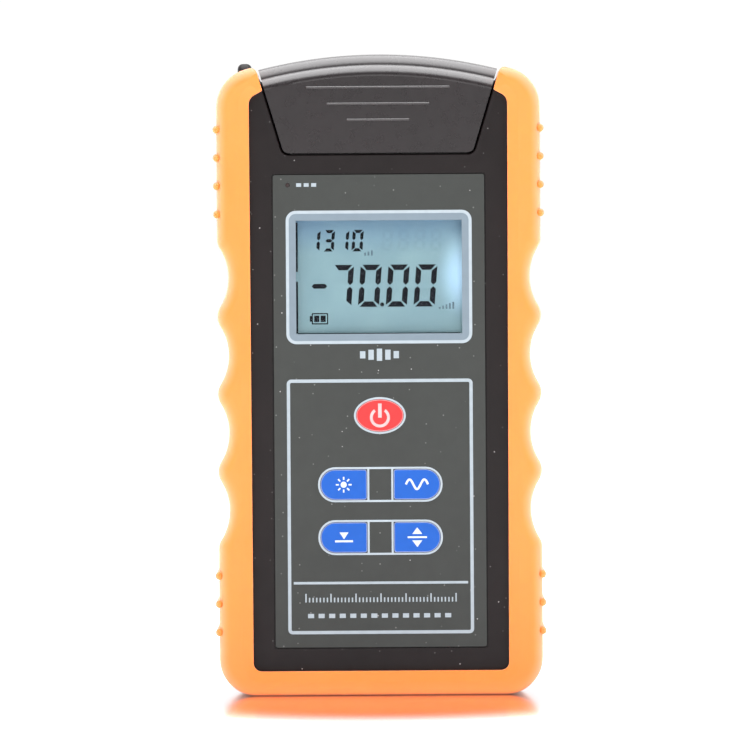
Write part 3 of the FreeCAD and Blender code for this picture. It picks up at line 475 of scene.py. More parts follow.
class METER_OT_boot(bpy.types.Operator):
    """Give the rubber boot its finish"""
    bl_idname = "meter.boot"
    bl_label = "Rubber boot"

    def execute(self, context):
        colours = context.scene.meter_finishes
        rubber = Finish("boot_rubber_finish", colours.boot)
        rubber.set("Specular IOR Level", 0.3)
        rubber.set("Sheen Weight", 0.6)
        rubber.set("Sheen Roughness", 0.4)
        rubber.set("Sheen Tint", (1.0, 0.88, 0.76, 1.0))
        rubber.set("Subsurface Weight", 0.35)
        rubber.set("Subsurface Scale", 1.5 * MM)
        rubber.set("Subsurface Radius", (1.0, 0.3, 0.1))
        rubber.mottle(35.0 * MM, colours.boot_shade, 0.5)
        from_middle = rubber.mapped((1.0 / cad_high.x, 0.0, 1.0 / (cad_high.z - cad_low.z)),
                                    (0.0, 0.0, -0.15))
        outwards = rubber.vector_math("DOT_PRODUCT", from_middle, rubber.turned)
        # Painted highlight: the outer roundings, turned away from the middle and upwards, are made paler.
        rubber.blend(rubber.ramp(outwards, 0.15, 0.95, 0.0, 0.75), colours.boot_side_highlight)
        # Painted shade: the inner edge, turned towards the middle, is made deeper where the boot meets the
        # housing.
        rubber.blend(rubber.ramp(outwards, -0.7, -0.1, 0.9, 0.0), colours.boot_crease_shade)
        rubber.uneven_gloss(6.0 * MM, 0.40, 0.50)
        rubber.grain(0.35 * MM, 0.10, 0.08 * MM)
        rubber.relief(rubber.noise(90.0, 2.0), 0.10, 0.6 * MM)
        dress(rubber.material, "rubber_boot")
        return {"FINISHED"}


class METER_OT_case(bpy.types.Operator):
    """Give the case shells, the lid and the small plastic pieces their finishes"""
    bl_idname = "meter.case"
    bl_label = "Case plastics"

    def execute(self, context):
        colours = context.scene.meter_finishes
        shell = Finish("case_plastic_finish", colours.case)
        shell.set("Specular IOR Level", 0.22)
        shell.mottle(20.0 * MM, scaled(colours.case, 1.5), 0.6)
        shell.uneven_gloss(4.0 * MM, 0.36, 0.46)
        shell.grain(0.4 * MM, 0.16, 0.06 * MM)
        shell.dust(FAINT_CASE_DUST, 5.0 * MM, 0.22 * MM, 0.4)
        shell.dust(colours.dust, 11.0 * MM, 0.18 * MM, 0.35)
        dress(shell.material, "front_housing", "rear_housing", "battery_door", "strap_eye")

        lid = Finish("lid_plastic_finish", colours.lid)
        lid.set("Specular IOR Level", 0.42)
        lid.set("Coat Weight", 0.35)
        lid.set("Coat Roughness", 0.22)
        lid.mottle(15.0 * MM, scaled(colours.lid, 1.3), 0.7)
        # Painted highlight: the lid is made paler where it faces up, towards the light above.
        painted_top_highlight = lid.ramp(lid.axis("Z", lid.turned), 0.04, 0.60)
        lid.blend(painted_top_highlight, colours.lid_top_highlight)
        lid.uneven_gloss(3.0 * MM, 0.26, 0.32)
        lid.grain(0.35 * MM, 0.07, 0.05 * MM)
        dress(lid.material, "port_lid")

        inner = Finish("inner_plastic_finish", scaled(colours.case, 1.4), 0.55)
        inner.grain(0.5 * MM, 0.25, 0.08 * MM)
        dress(inner.material, "port_plate", "lcd_frame")
        return {"FINISHED"}


class METER_OT_label(bpy.types.Operator):
    """Give the label, the window and the lamp their finishes"""
    bl_idname = "meter.label"
    bl_label = "Label and window"

    def execute(self, context):
        colours = context.scene.meter_finishes
        film = Finish("label_film_finish", colours.label)
        film.mottle(30.0 * MM, scaled(colours.label, 1.12), 0.8)
        film.uneven_gloss(5.0 * MM, 0.50, 0.60)
        film.grain(0.3 * MM, 0.12, 0.04 * MM)
        film.dust(FAINT_LABEL_DUST, 4.5 * MM, 0.24 * MM, 0.4)
        film.dust(colours.dust, 9.0 * MM, 0.18 * MM, 0.4)
        dress(film.material, "face_label")

        pane = Finish("window_finish", (0.10, 0.12, 0.14))
        pane.set("Alpha", 0.03)
        pane.set("Specular IOR Level", 0.12)
        pane.uneven_gloss(20.0 * MM, 0.04, 0.09)
        dress(pane.material, "display_window")

        lamp = Finish("lamp_finish", (0.018, 0.014, 0.014), 0.15)
        lamp.set("Coat Weight", 0.6)
        lamp.mottle(1.0 * MM, (0.05, 0.01, 0.01), 0.5)
        dress(lamp.material, "indicator_lamp")
        return {"FINISHED"}


class METER_OT_keys(bpy.types.Operator):
    """Give the five keys their finishes"""
    bl_idname = "meter.keys"
    bl_label = "Keys"

    def execute(self, context):
        colours = context.scene.meter_finishes
        kinds = (("red", colours.red_key, ("key_power",)),
                 ("blue", colours.blue_key, ("key_locator", "key_wavelength", "key_reference", "key_unit")))
        for kind, colour, nodes in kinds:
            rubber = Finish("%s_key_finish" % kind, colour)
            rubber.set("Specular IOR Level", 0.3)
            rubber.mottle(4.0 * MM, scaled(colour, 0.88), 0.5)
            # Painted highlight: the rounded edge of each cap, turned away from the front, is made paler.
            painted_edge_highlight = rubber.ramp(rubber.axis("Y", rubber.turned), -0.97, -0.75, 0.0, 0.55)
            rubber.blend(painted_edge_highlight, tuple(0.55 * value + 0.45 for value in colour))
            rubber.uneven_gloss(2.0 * MM, 0.34, 0.44)
            rubber.grain(0.25 * MM, 0.08, 0.03 * MM)
            dress(rubber.material, *nodes)
        return {"FINISHED"}


def metal(name, colour, gloss_size, smooth, rough, pattern_scale, strength, depth):
    """A bare metal: uneven gloss between two roughnesses, over a fine bump."""
    finish = Finish(name, colour)
    finish.set("Metallic", 1.0)
    finish.uneven_gloss(gloss_size, smooth, rough)
    finish.relief(finish.noise(1.0, 2.0, finish.mapped(pattern_scale)), strength, depth)
    return finish.material


class METER_OT_metals(bpy.types.Operator):
    """Give the ports, screws, pins, springs and contacts their finishes"""
    bl_idname = "meter.metals"
    bl_label = "Metal pieces"

    def execute(self, context):
        even, turned = (1200.0, 1200.0, 1200.0), (300.0, 300.0, 1500.0)
        steel = metal("steel_finish", (0.60, 0.60, 0.61), 2.0 * MM, 0.18, 0.34, even, 0.05, 0.03 * MM)
        dress(steel, "board_screws", "lid_hinge_pin", "photodiode", "battery_contacts", "battery_springs")
        black = metal("screw_finish", (0.05, 0.05, 0.055), 1.0 * MM, 0.28, 0.42, even, 0.06, 0.03 * MM)
        dress(black, "case_screws")
        nickel = metal("port_finish", (0.66, 0.64, 0.60), 1.5 * MM, 0.24, 0.34, turned, 0.05, 0.02 * MM)
        dress(nickel, "detector_adapter", "locator_adapter", "adapter_nuts")
        brass = metal("brass_finish", (0.72, 0.50, 0.22), 2.0 * MM, 0.22, 0.38, turned, 0.05, 0.02 * MM)
        dress(brass, "laser_module")
        return {"FINISHED"}


class METER_OT_electronics(bpy.types.Operator):
    """Give the board, its chips, the switches and the backlight their finishes"""
    bl_idname = "meter.electronics"
    bl_label = "Electronics"

    def execute(self, context):
        board = Finish("board_finish", (0.012, 0.105, 0.045))
        for scale, edge in (((120.0, 1.0, 900.0), 0.52), ((900.0, 1.0, 120.0), 0.54)):
            tracks = board.ramp(board.noise(1.0, 0.0, board.mapped(scale)), edge, edge + 0.04, 0.0, 0.6)
            board.blend(tracks, (0.03, 0.19, 0.08))
        board.uneven_gloss(10.0 * MM, 0.30, 0.42)
        dress(board.material, "main_board")

        chip = Finish("chip_finish", (0.014, 0.014, 0.015))
        chip.uneven_gloss(2.0 * MM, 0.48, 0.62)
        chip.grain(0.2 * MM, 0.2, 0.03 * MM)
        dress(chip.material, "board_chips", "key_switches")

        guide = Finish("light_guide_finish", (0.80, 0.86, 0.90), 0.30)
        guide.set("Subsurface Weight", 0.2)
        guide.set("Subsurface Scale", 2.0 * MM)
        guide.mottle(10.0 * MM, (0.70, 0.80, 0.90), 0.5)
        dress(guide.material, "backlight")
        return {"FINISHED"}


class METER_OT_batteries(bpy.types.Operator):
    """Give the three cells their printed sleeves and steel ends"""
    bl_idname = "meter.batteries"
    bl_label = "Batteries"

    def execute(self, context):
        band_share = 0.3
        steel_end = 1.5 * MM
        edge = 0.1 * MM
        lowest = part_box("battery_2")[0].z
        for node in ("battery_1", "battery_2", "battery_3"):
            low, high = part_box(node)
            band_length = band_share * (high.z - low.z)
            nub_up = low.z > lowest + 0.5 * MM
            start = low.z if nub_up else high.z - band_length
            end = low.z + band_length if nub_up else high.z
            sleeve = Finish("%s_finish" % node, (0.02, 0.05, 0.16), 0.32)
            height = sleeve.axis("Z")
            band = sleeve.math("MULTIPLY", sleeve.ramp(height, start - edge, start + edge),
                               sleeve.ramp(height, end - edge, end + edge, 1.0, 0.0))
            sleeve.blend(band, (0.75, 0.60, 0.22))
            steel_low, steel_high = low.z + steel_end, high.z - steel_end
            steel = sleeve.math("MAXIMUM",
                                sleeve.ramp(height, steel_low - edge, steel_low + edge, 1.0, 0.0),
                                sleeve.ramp(height, steel_high - edge, steel_high + edge))
            sleeve.blend(steel, (0.62, 0.62, 0.63))
            sleeve.feed("Metallic", steel)
            sleeve.grain(0.8 * MM, 0.05, 0.04 * MM)
            dress(sleeve.material, node)
        return {"FINISHED"}


def lit_glass(display, name, strength=1.0):
    """The display's glass as its lamp lights it; strength darkens or brightens it."""
    low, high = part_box("lcd_panel")
    glass = Finish(name, scaled(display.glass, strength))
    glass.blend(glass.ramp(glass.axis("Z"), high.z - 13.0 * MM, high.z - 2.0 * MM),
                scaled(display.glass_top, strength))
    lamp_x, lamp_z = high.x - 1.5 * MM, (low.z + high.z) / 2 + 0.5 * MM
    reach_x, reach_z = 8.5 * MM, 14.0 * MM
    from_lamp = glass.vector_math("LENGTH", glass.mapped((1.0 / reach_x, 0.0, 1.0 / reach_z),
                                                         (-lamp_x / reach_x, 0.0, -lamp_z / reach_z)))
    glass.blend(glass.ramp(from_lamp, 0.0, 1.0, 1.0, 0.0), scaled(display.glow, strength))
    glass.blend(glass.ramp(glass.noise(60.0, 2.0), 0.4, 0.7, 0.0, 0.10),
                scaled((0.30, 0.46, 0.45), strength))
    glass.feed("Emission Color", glass.colour)
    glass.set("Emission Strength", 0.32)
    glass.uneven_gloss(10.0 * MM, 0.45, 0.55)
    return glass.material


class METER_OT_panel(bpy.types.Operator):
    """Give the display's glass its lit finish"""
    bl_idname = "meter.panel"
    bl_label = "Display glass"

    def execute(self, context):
        dress(lit_glass(context.scene.meter_display, "lcd_glass_finish"), "lcd_panel")
        return {"FINISHED"}


def ink_finish(context, name="ink_finish", strength=1.0):
    """The label's printing ink; strength brightens it."""
    colour = scaled(context.scene.meter_finishes.ink, strength)
    ink = Finish(name, colour)
    ink.mottle(2.0 * MM, scaled(colour, 0.93), 0.8)
    ink.grain(0.3 * MM, 0.10, 0.03 * MM)
    return ink.material


def print_flat(parts, name, height, material, body="meter"):
    """Joins flat parts, raises them by a height and gives them their place in the assembly."""
    piece = join(parts, name)
    thicken(piece, height)
    settle(piece, material, body)


def cut_opening(plate, low, high):
    """Cuts a rectangle, from corner low to corner high, out of a flat face."""
    begin_edit(plate)
    for normal, places in (((1, 0, 0), (low[0], high[0])), ((0, 0, 1), (low[1], high[1]))):
        for place in places:
            spot = [value * place for value in normal]
            bpy.ops.mesh.select_all(action="SELECT")
            bpy.ops.mesh.bisect(plane_co=spot, plane_no=normal)
    select_faces(plate, lambda middle: low[0] < middle.x < high[0] and low[1] < middle.z < high[1])
    bpy.ops.mesh.delete(type="FACE")
    end_edit()


class METER_OT_display_border(bpy.types.Operator):
    """Print the outline and the pale band round the display"""
    bl_idname = "meter.display_border"
    bl_label = "Display border"

    def execute(self, context):
        sizes = context.scene.meter_print
        low = (-sizes.border_half_width, sizes.border_low)
        high = (sizes.border_half_width, sizes.border_high)
        border = rim("border", low, high, sizes.border_corner, sizes.border_stroke, LABEL_FRONT)
        print_flat([border], "display_border", sizes.ink_height,
                   ink_finish(context, "bright_ink_finish", 1.08))

        colour = context.scene.meter_finishes.band
        tint = Finish("band_finish", colour, 0.45)
        tint.mottle(4.0 * MM, scaled(colour, 0.94), 0.8)
        tint.grain(0.3 * MM, 0.08, 0.03 * MM)
        step = sizes.border_stroke * 0.9
        band = add_plate("band", (low[0] + step, low[1] + step), (high[0] - step, high[1] - step),
                         LABEL_FRONT)
        round_corners(band, sizes.border_corner - step)
        pane_low, pane_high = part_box("display_window")
        cut_opening(band, (pane_low.x + PANE_OVERLAP, pane_low.z + PANE_OVERLAP),
                    (pane_high.x - PANE_OVERLAP, pane_high.z - PANE_OVERLAP))
        print_flat([band], "display_band", sizes.ink_height * 0.6, tint.material)
        return {"FINISHED"}


class METER_OT_keypad_print(bpy.types.Operator):
    """Print the frame round the keys, the line under them and the outlines of the keys"""
    bl_idname = "meter.keypad_print"
    bl_label = "Keypad print"

    def execute(self, context):
        sizes = context.scene.meter_print
        stroke = sizes.key_stroke
        half = sizes.border_half_width
        pad = rim("pad", (-half, sizes.pad_low), (half, sizes.pad_high), sizes.pad_corner, sizes.pad_stroke,
                  LABEL_FRONT)
        half, lift = sizes.divider_half_width, sizes.divider_stroke / 2
        divider = add_plate("divider", (-half, sizes.divider_height - lift),
                            (half, sizes.divider_height + lift), LABEL_FRONT)
        print_flat([pad, divider], "keypad_frame", sizes.ink_height, ink_finish(context))

        bright = ink_finish(context, "key_outline_finish", 1.15)
        inset = sizes.key_flange - sizes.key_play
        low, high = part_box("key_power")
        ring = add_disc("ring", cad_middle("key_power"),
                        ((high.x - low.x) / 2 - inset + stroke, (high.z - low.z) / 2 - inset + stroke),
                        LABEL_FRONT, 96)
        hollow(ring, stroke)
        print_flat([ring], "power_key_outline", sizes.ink_height, bright)

        grow = stroke - inset
        end_flat = 0.1 * MM
        for name, left, right in (("upper", "key_locator", "key_wavelength"),
                                  ("lower", "key_reference", "key_unit")):
            left_low, left_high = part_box(left)
            right_low, right_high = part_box(right)
            low = (left_low.x - grow, left_low.z - grow)
            high = (right_high.x + grow, right_high.z + grow)
            loop = rim("loop", low, high, (high[1] - low[1]) / 2 - end_flat, stroke, LABEL_FRONT)
            bars = []
            for edge, sign in ((left_high.x - inset, 1), (right_low.x + inset, -1)):
                sides = sorted((edge, edge + sign * stroke))
                bars.append(add_plate("bar", (sides[0], low[1] + stroke), (sides[1], high[1] - stroke),
                                      LABEL_FRONT))
            print_flat([loop] + bars, "%s_keys_outline" % name, sizes.ink_height, bright)
        return {"FINISHED"}


def segment_corners(name, width, height, stroke, gap):
    """Outline of one of the seven segments of a digit, from the digit's lower left corner."""
    middle = height / 2
    half = stroke / 2
    tip_cut = half * 0.4
    left, right = gap + stroke, width - gap - stroke
    flat = {"a": (height, height - stroke), "d": (0.0, stroke)}
    if name in flat:
        outer, inner = flat[name]
        return [(gap + tip_cut, outer), (width - gap - tip_cut, outer), (right, inner), (left, inner)]
    if name == "g":
        return [(gap + half, middle), (left, middle + half), (right, middle + half),
                (width - gap - half, middle), (right, middle - half), (left, middle - half)]
    upper = name in "bf"
    sign = 1.0 if upper else -1.0
    tip = middle + sign * gap
    far_end = height - gap if upper else gap
    outer, inner = (width, width - stroke) if name in "bc" else (0.0, stroke)
    return [(outer, far_end - sign * tip_cut), (inner, far_end - sign * stroke),
            (inner, tip + sign * half), ((outer + inner) / 2, tip), (outer, tip + sign * half)]


def on_glass(across, down):
    """A place on the display in millimetres from the upper left corner of what shows of it."""
    low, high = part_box("display_window")
    return low.x + PANE_OVERLAP + across * MM, high.z - PANE_OVERLAP - down * MM


def reading(text, across, down, pitch, sizes, slant):
    """A row of leaning digits; the first has its lower left corner at that place on the display."""
    parts = []
    for i, character in enumerate(text):
        left, foot = on_glass(across + i * pitch, down)
        for name in LIT[character]:
            corners = [(left + x + z * math.tan(slant), foot + z)
                       for x, z in segment_corners(name, *(value * MM for value in sizes))]
            parts.append(add_flat("segment", corners, PANEL_FRONT))
    return parts


def minus_sign():
    """A bar with pointed ends."""
    x, z = on_glass(6.6, 18.35)
    half, end = 0.67 * MM, 2.2 * MM
    shoulder = end - half
    corners = [(x - end, z), (x - shoulder, z + half), (x + shoulder, z + half),
               (x + end, z), (x + shoulder, z - half), (x - shoulder, z - half)]
    return add_flat("minus", corners, PANEL_FRONT)


def battery_sign():
    """A small cell with two bars of charge."""
    x, z = on_glass(6.7, 27.45)
    half_width, half_height, corner, stroke = 2.3 * MM, 1.6 * MM, 0.25 * MM, 0.34 * MM
    nub_width, nub_half = 0.55 * MM, 0.8 * MM
    bar_shift, bar_half_width, bar_half_height = 0.9 * MM, 0.72 * MM, 0.9 * MM
    parts = [rim("outline", (x - half_width, z - half_height), (x + half_width, z + half_height), corner,
                 stroke, PANEL_FRONT),
             add_plate("nub", (x - half_width - nub_width, z - nub_half), (x - half_width, z + nub_half),
                       PANEL_FRONT)]
    for middle in (x - bar_shift, x + bar_shift):
        parts.append(add_plate("charge", (middle - bar_half_width, z - bar_half_height),
                               (middle + bar_half_width, z + bar_half_height), PANEL_FRONT))
    return parts


def rising_bars(count, across, down, foot, first, rise):
    """A row of bars that start foot below a place on the display and end first above it, then higher."""
    x, z = on_glass(across, down)
    pitch, width = 0.95, 0.5
    return [add_plate("bar", (x + i * pitch * MM, z - foot * MM),
                      (x + (i * pitch + width) * MM, z + (first + i * rise) * MM), PANEL_FRONT)
            for i in range(count)]


def painted_shadow_lines():
    """Painted shadow lines where the glass sits below its frame: along the left side, with a break in it,
    and along the foot of the display.
    """
    low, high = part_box("display_window")
    left, top = low.x + PANE_OVERLAP, high.z - PANE_OVERLAP
    right, bottom = high.x - PANE_OVERLAP, low.z + PANE_OVERLAP
    width, break_high, break_low = 0.6 * MM, 14.3 * MM, 17.0 * MM
    return [add_plate("edge", (left, top - break_high), (left + width, top - 0.5 * MM), PANEL_FRONT),
            add_plate("edge", (left, bottom + 0.2 * MM), (left + width, top - break_low), PANEL_FRONT),
            add_plate("edge", (left + 0.5 * MM, bottom), (right - width, bottom + 0.22 * MM), PANEL_FRONT)]


class METER_OT_display_picture(bpy.types.Operator):
    """Draw the digits, the battery sign and the painted shadow lines along the edges of the display"""
    bl_idname = "meter.display_picture"
    bl_label = "Display picture"

    def execute(self, context):
        display = context.scene.meter_display
        height, slant = display.segment_height, display.slant
        dark = Finish("segment_finish", display.segment, 0.6)
        dark.set("Specular IOR Level", 0.05)
        dark.mottle(3.0 * MM, scaled(display.segment, 1.25), 0.6)
        grey = Finish("unit_sign_finish", linear(62, 86, 98), 0.55)
        grey.mottle(2.0 * MM, linear(74, 100, 112), 0.7)

        digits = reading("7000", 9.55, 24.2, 7.78, BIG_DIGIT, slant)
        digits.append(add_disc("point", on_glass(24.15, 23.55), (POINT_RADIUS, POINT_RADIUS),
                               PANEL_FRONT, 20))
        digits.append(minus_sign())
        digits += reading("1310", 3.55, 8.65, 4.02, SMALL_DIGIT, slant)
        print_flat(digits, "display_digits", height, dark.material)
        print_flat(battery_sign(), "display_battery_sign", height, dark.material)
        units = rising_bars(3, 19.2, 9.1, 0.75, 0.1, 0.3) + rising_bars(5, 40.0, 24.0, 0.9, -0.35, 0.35)
        print_flat(units, "display_unit_signs", height, grey.material)
        # Painted shadow: dark strips along the display's left side and foot, in the segments' dark finish.
        print_flat(painted_shadow_lines(), "display_painted_shadows", height, dark.material)
        print_flat(reading("8888", 23.9, 8.5, 4.55, SMALL_DIGIT, slant), "display_ghost_digits", height / 2,
                   lit_glass(display, "ghost_finish", display.ghost))
        return {"FINISHED"}


def power_symbol(x, z, y):
    """A ring that is open at its top, with a bar in the gap."""
    middle_z = z - 0.55 * MM
    radius, stroke, half_gap = 2.8 * MM, 0.8 * MM, math.radians(36.0)
    ring = add_disc("ring", (x, middle_z), (radius, radius), y, 72)
    hollow(ring, stroke)
    begin_edit(ring)
    select_faces(ring, lambda middle: abs(math.atan2(middle.x - x, middle.z - middle_z)) < half_gap)
    bpy.ops.mesh.delete(type="FACE")
    end_edit()
    bar_half = 0.5 * MM
    return [ring, add_plate("bar", (x - bar_half, z - 0.6 * MM), (x + bar_half, z + 3.35 * MM), y)]


def locator_symbol(x, z, y):
    """A spot of light with eight rays."""
    spot_radius, ray_start, ray_end, ray_half = 0.85 * MM, 1.35 * MM, 2.2 * MM, 0.2 * MM
    parts = [add_disc("spot", (x, z), (spot_radius, spot_radius), y, 32)]
    for i in range(8):
        turn = math.radians(45.0 * i)
        along = Vector((math.cos(turn), math.sin(turn)))
        across = Vector((-along.y, along.x))
        corners = [Vector((x, z)) + along * reach + across * side
                   for reach, side in ((ray_start, -ray_half), (ray_end, -ray_half),
                                       (ray_end, ray_half), (ray_start, ray_half))]
        parts.append(add_flat("ray", [tuple(corner) for corner in corners], y))
    return parts


def wavelength_symbol(x, z, y):
    """One and a half waves."""
    steps, length, swing, half_stroke = 48, 6.2 * MM, 1.35 * MM, 0.3 * MM
    turn = 3.0 * math.pi
    upper, lower = [], []
    for i in range(steps + 1):
        share = i / steps
        slope = swing * turn / length * math.cos(turn * share)
        normal = Vector((-slope, 1.0)).normalized() * half_stroke
        spot = Vector((x + (share - 0.5) * length, z + swing * math.sin(turn * share)))
        upper.append(tuple(spot + normal))
        lower.append(tuple(spot - normal))
    return [add_flat("wave", lower + upper[::-1], y)]


def reference_symbol(x, z, y):
    """An arrow that points down at a line."""
    line_half, line_low, line_high = 2.5 * MM, z - 1.3 * MM, z - 0.75 * MM
    arrow_half, tip, back = 1.25 * MM, z - 0.45 * MM, z + 1.45 * MM
    return [add_plate("line", (x - line_half, line_low), (x + line_half, line_high), y),
            add_flat("arrow", [(x, tip), (x + arrow_half, back), (x - arrow_half, back)], y)]


def unit_symbol(x, z, y):
    """A line between an arrow up and an arrow down."""
    line_half, line_lift = 2.7 * MM, 0.25 * MM
    arrow_half, near, tip = 1.4 * MM, 0.9 * MM, 2.75 * MM
    return [add_plate("line", (x - line_half, z - line_lift), (x + line_half, z + line_lift), y),
            add_flat("up", [(x - arrow_half, z + near), (x + arrow_half, z + near), (x, z + tip)], y),
            add_flat("down", [(x, z - tip), (x + arrow_half, z - near), (x - arrow_half, z - near)], y)]


SYMBOLS = {
    "key_power": power_symbol,
    "key_locator": locator_symbol,
    "key_wavelength": wavelength_symbol,
    "key_reference": reference_symbol,
    "key_unit": unit_symbol,
}


class METER_OT_key_symbols(bpy.types.Operator):
    """Print a plain symbol on each key"""
    bl_idname = "meter.key_symbols"
    bl_label = "Key symbols"

    def execute(self, context):
        white = Finish("key_ink_finish", (0.52, 0.57, 0.66), 0.45)
        white.mottle(1.0 * MM, (0.46, 0.51, 0.60), 0.7)
        pink = Finish("red_key_ink_finish", (0.56, 0.36, 0.36), 0.45)
        pink.mottle(1.0 * MM, (0.50, 0.30, 0.30), 0.7)
        sunk_y = KEY_FRONT + 0.005 * MM
        for node, symbol in SYMBOLS.items():
            ink, slot = (pink, "key_red") if node == "key_power" else (white, "key_blue")
            print_flat(symbol(*cad_middle(node), sunk_y), "%s_symbol" % node,
                       context.scene.meter_print.ink_height, ink.material, KEY_BODIES[node])
        return {"FINISHED"}


class METER_OT_label_marks(bpy.types.Operator):
    """Print the plain marks that stand where a maker's words would be"""
    bl_idname = "meter.label_marks"
    bl_label = "Label marks"

    def execute(self, context):
        height = context.scene.meter_print.ink_height
        ink = ink_finish(context)

        def bar(x, half, low, high):
            """An upright bar on the label; its place and sizes are in millimetres."""
            return add_plate("bar", ((x - half) * MM, low * MM), ((x + half) * MM, high * MM), LABEL_FRONT)

        level_z, level_pitch, level_half = 95.3, 2.35, 0.75
        level = [bar((i - 2) * level_pitch, level_half, level_z - tall / 2, level_z + tall / 2)
                 for i, tall in enumerate((2.0, 2.8, 3.4, 2.8, 2.0))]
        print_flat(level, "level_mark", height, ink)

        tick_z, tick_half, long_tick, short_tick = 26.1, 0.19, 2.4, 1.3
        scale = [bar(i - 21.0, tick_half, tick_z, tick_z + (short_tick if i % 7 else long_tick))
                 for i in range(43)]
        dash_low, dash_high, dash_pitch, dash_half = 21.7, 22.9, 2.95, 0.85
        scale += [bar(dash_pitch * i - 19.6, dash_half, dash_low, dash_high) for i in range(14)]
        print_flat(scale, "foot_scale", height, ink)

        lamp_x, lamp_z = (value / MM for value in cad_middle("indicator_lamp"))
        lamp_gap, lamp_pitch, lamp_half = 3.1, 2.1, 0.7
        mark = [bar(lamp_x + lamp_gap + lamp_pitch * i, lamp_half, lamp_z - 0.5, lamp_z + 0.5)
                for i in range(3)]
        print_flat(mark, "lamp_mark", height, ink)
        return {"FINISHED"}


def set_surroundings(scene, studio):
    """White backdrop for the camera; for the object, dimmer on the camera's side than behind."""
    scene.view_settings.view_transform = "Standard"
    scene.view_settings.look = "None"
    world = bpy.data.worlds.new("studio_surroundings")
    scene.world = world
    world.use_nodes = True
    tree = world.node_tree
    background = tree.nodes["Background"]
    background.inputs["Color"].default_value = (1.0, 1.0, 1.0, 1.0)
    direction = tree.nodes.new("ShaderNodeSeparateXYZ")
    tree.links.new(tree.nodes.new("ShaderNodeTexCoord").outputs["Generated"], direction.inputs["Vector"])
    shade = tree.nodes.new("ShaderNodeMapRange")
    tree.links.new(direction.outputs["Y"], shade.inputs["Value"])
    set_range(shade, -1.0, 0.2, studio.sky_front, studio.sky_rear)
    seen = tree.nodes.new("ShaderNodeMix")
    tree.links.new(tree.nodes.new("ShaderNodeLightPath").outputs["Is Camera Ray"], seen.inputs["Factor"])
    tree.links.new(shade.outputs["Result"], seen.inputs["A"])
    seen.inputs["B"].default_value = studio.backdrop
    tree.links.new(seen.outputs["Result"], background.inputs["Strength"])


def lay_floor(studio):
    """A white table top that mirrors the object close to its foot and glows away from it."""
    deselect()
    bpy.ops.mesh.primitive_plane_add(size=30.0, location=(0.0, 0.0, 0.0))
    floor = bpy.context.object
    floor.name = "floor"
    sheet = Finish("floor_finish", studio.floor)
    sheet.uneven_gloss(0.3, 0.09, 0.11)
    distance = sheet.vector_math("LENGTH", sheet.mapped((1.4, 1.0, 1.0), (0.0, 0.045, 0.0)))
    mirror_near, mirror_far = 0.055, 0.12
    # Painted reflection and painted shade: near the object's foot the floor turns greyish pink and, for
    # camera rays only, becomes a mirror; the tint colours that reflection and darkens the floor round the
    # object.
    sheet.blend(sheet.ramp(distance, 0.06, mirror_far, 1.0, 0.0), (0.62, 0.55, 0.59))
    seen = sheet.tree.nodes.new("ShaderNodeLightPath").outputs["Is Camera Ray"]
    mirror = sheet.ramp(distance, mirror_near, mirror_far, 0.95, 0.0)
    sheet.feed("Metallic", sheet.math("MULTIPLY", mirror, seen))
    sheet.feed("Specular IOR Level", sheet.ramp(distance, mirror_near, mirror_far, 0.5, 0.0))
    sheet.set("Emission Color", (1.0, 1.0, 1.0, 1.0))
    contact = cad_low.y
    bounce = sheet.ramp(sheet.axis("Y"), contact, contact + 3.5 * MM, studio.floor_bounce, 0.0)
    bounce = sheet.math("MULTIPLY", sheet.math("SUBTRACT", 1.0, seen), bounce)
    glow = sheet.ramp(distance, 0.07, 0.135, 0.0, studio.floor_glow)
    sheet.feed("Emission Strength", sheet.math("MAXIMUM", glow, bounce))
    floor.data.materials.append(sheet.material)


def hang_lights(studio):
    """A large soft light above and a small one on either side."""
    above, right = Vector((0.0, -0.4, 1.12)), Vector((1.0, 0.15, 0.35))
    left = Vector((-right.x, right.y, right.z))
    middle_z = 0.09
    for name, place, aim, size, power in (
            ("overhead_light", above, (0.0, above.y, middle_z), (1.2, 1.9), studio.overhead),
            ("left_light", left, (0.0, 0.0, middle_z), (0.7, 0.7), studio.side_light),
            ("right_light", right, (0.0, 0.0, middle_z), (0.7, 0.7), studio.side_light)):
        deselect()
        bpy.ops.object.light_add(type="AREA", location=place)
        lamp = bpy.context.object
        lamp.name = name
        lamp.data.shape = "RECTANGLE"
        lamp.data.size, lamp.data.size_y = size
        lamp.data.energy = power
        lamp.rotation_euler = (Vector(aim) - place).to_track_quat("-Z", "Y").to_euler()


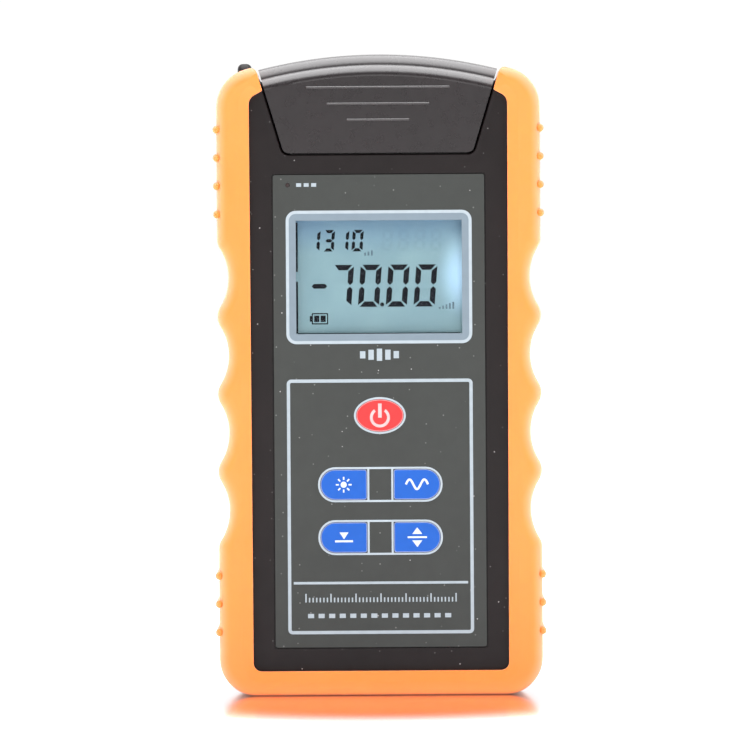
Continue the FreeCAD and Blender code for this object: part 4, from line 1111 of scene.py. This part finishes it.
def set_camera(scene, studio):
    """The photograph's view: from the front, a little above the horizon."""
    target = Vector((studio.view_x, cad_low.y, studio.view_z))
    back = Vector((0.0, -math.cos(studio.elevation), math.sin(studio.elevation)))
    deselect()
    bpy.ops.object.camera_add(location=target + back * studio.distance)
    camera = bpy.context.object
    camera.name = "photo_camera"
    aim = (-back).to_track_quat("-Z", "Y").to_matrix() @ Matrix.Rotation(studio.roll, 3, "Z")
    camera.rotation_euler = aim.to_euler()
    camera.data.sensor_width = 36.0
    camera.data.lens = camera.data.sensor_width * studio.distance / studio.view_width
    camera.data.clip_start = 0.1
    camera.data.clip_end = 60.0
    scene.camera = camera


class METER_OT_stage(bpy.types.Operator):
    """Set up the floor, the lights and the camera"""
    bl_idname = "meter.stage"
    bl_label = "Studio"

    def execute(self, context):
        studio = context.scene.meter_studio
        set_surroundings(context.scene, studio)
        lay_floor(studio)
        hang_lights(studio)
        set_camera(context.scene, studio)
        return {"FINISHED"}


class METER_PT_sidebar(bpy.types.Panel):
    """Steps that build the meter's looks"""
    bl_idname = "METER_PT_sidebar"
    bl_label = "Power Meter"
    bl_space_type = "VIEW_3D"
    bl_region_type = "UI"
    bl_category = "Power Meter"

    def draw(self, context):
        for step in STEPS:
            self.layout.operator(step.bl_idname)


GROUPS = {
    "meter_finishes": MeterFinishes,
    "meter_print": MeterPrint,
    "meter_display": MeterDisplay,
    "meter_studio": MeterStudio,
}
STEPS = (
    METER_OT_stage,
    METER_OT_boot,
    METER_OT_case,
    METER_OT_label,
    METER_OT_keys,
    METER_OT_metals,
    METER_OT_electronics,
    METER_OT_batteries,
    METER_OT_panel,
    METER_OT_display_border,
    METER_OT_display_picture,
    METER_OT_keypad_print,
    METER_OT_key_symbols,
    METER_OT_label_marks,
)


def register():
    for kind in (*GROUPS.values(), *STEPS, METER_PT_sidebar):
        bpy.utils.register_class(kind)
    for name, group in GROUPS.items():
        setattr(bpy.types.Scene, name, bpy.props.PointerProperty(type=group))


def unregister():
    for name in GROUPS:
        delattr(bpy.types.Scene, name)
    for kind in reversed((*GROUPS.values(), *STEPS, METER_PT_sidebar)):
        bpy.utils.unregister_class(kind)


def main():
    """Builds everything in order."""
    register()
    for step in STEPS:
        group, name = step.bl_idname.split(".")
        getattr(getattr(bpy.ops, group), name)()


if __name__ == "__main__":
    main()
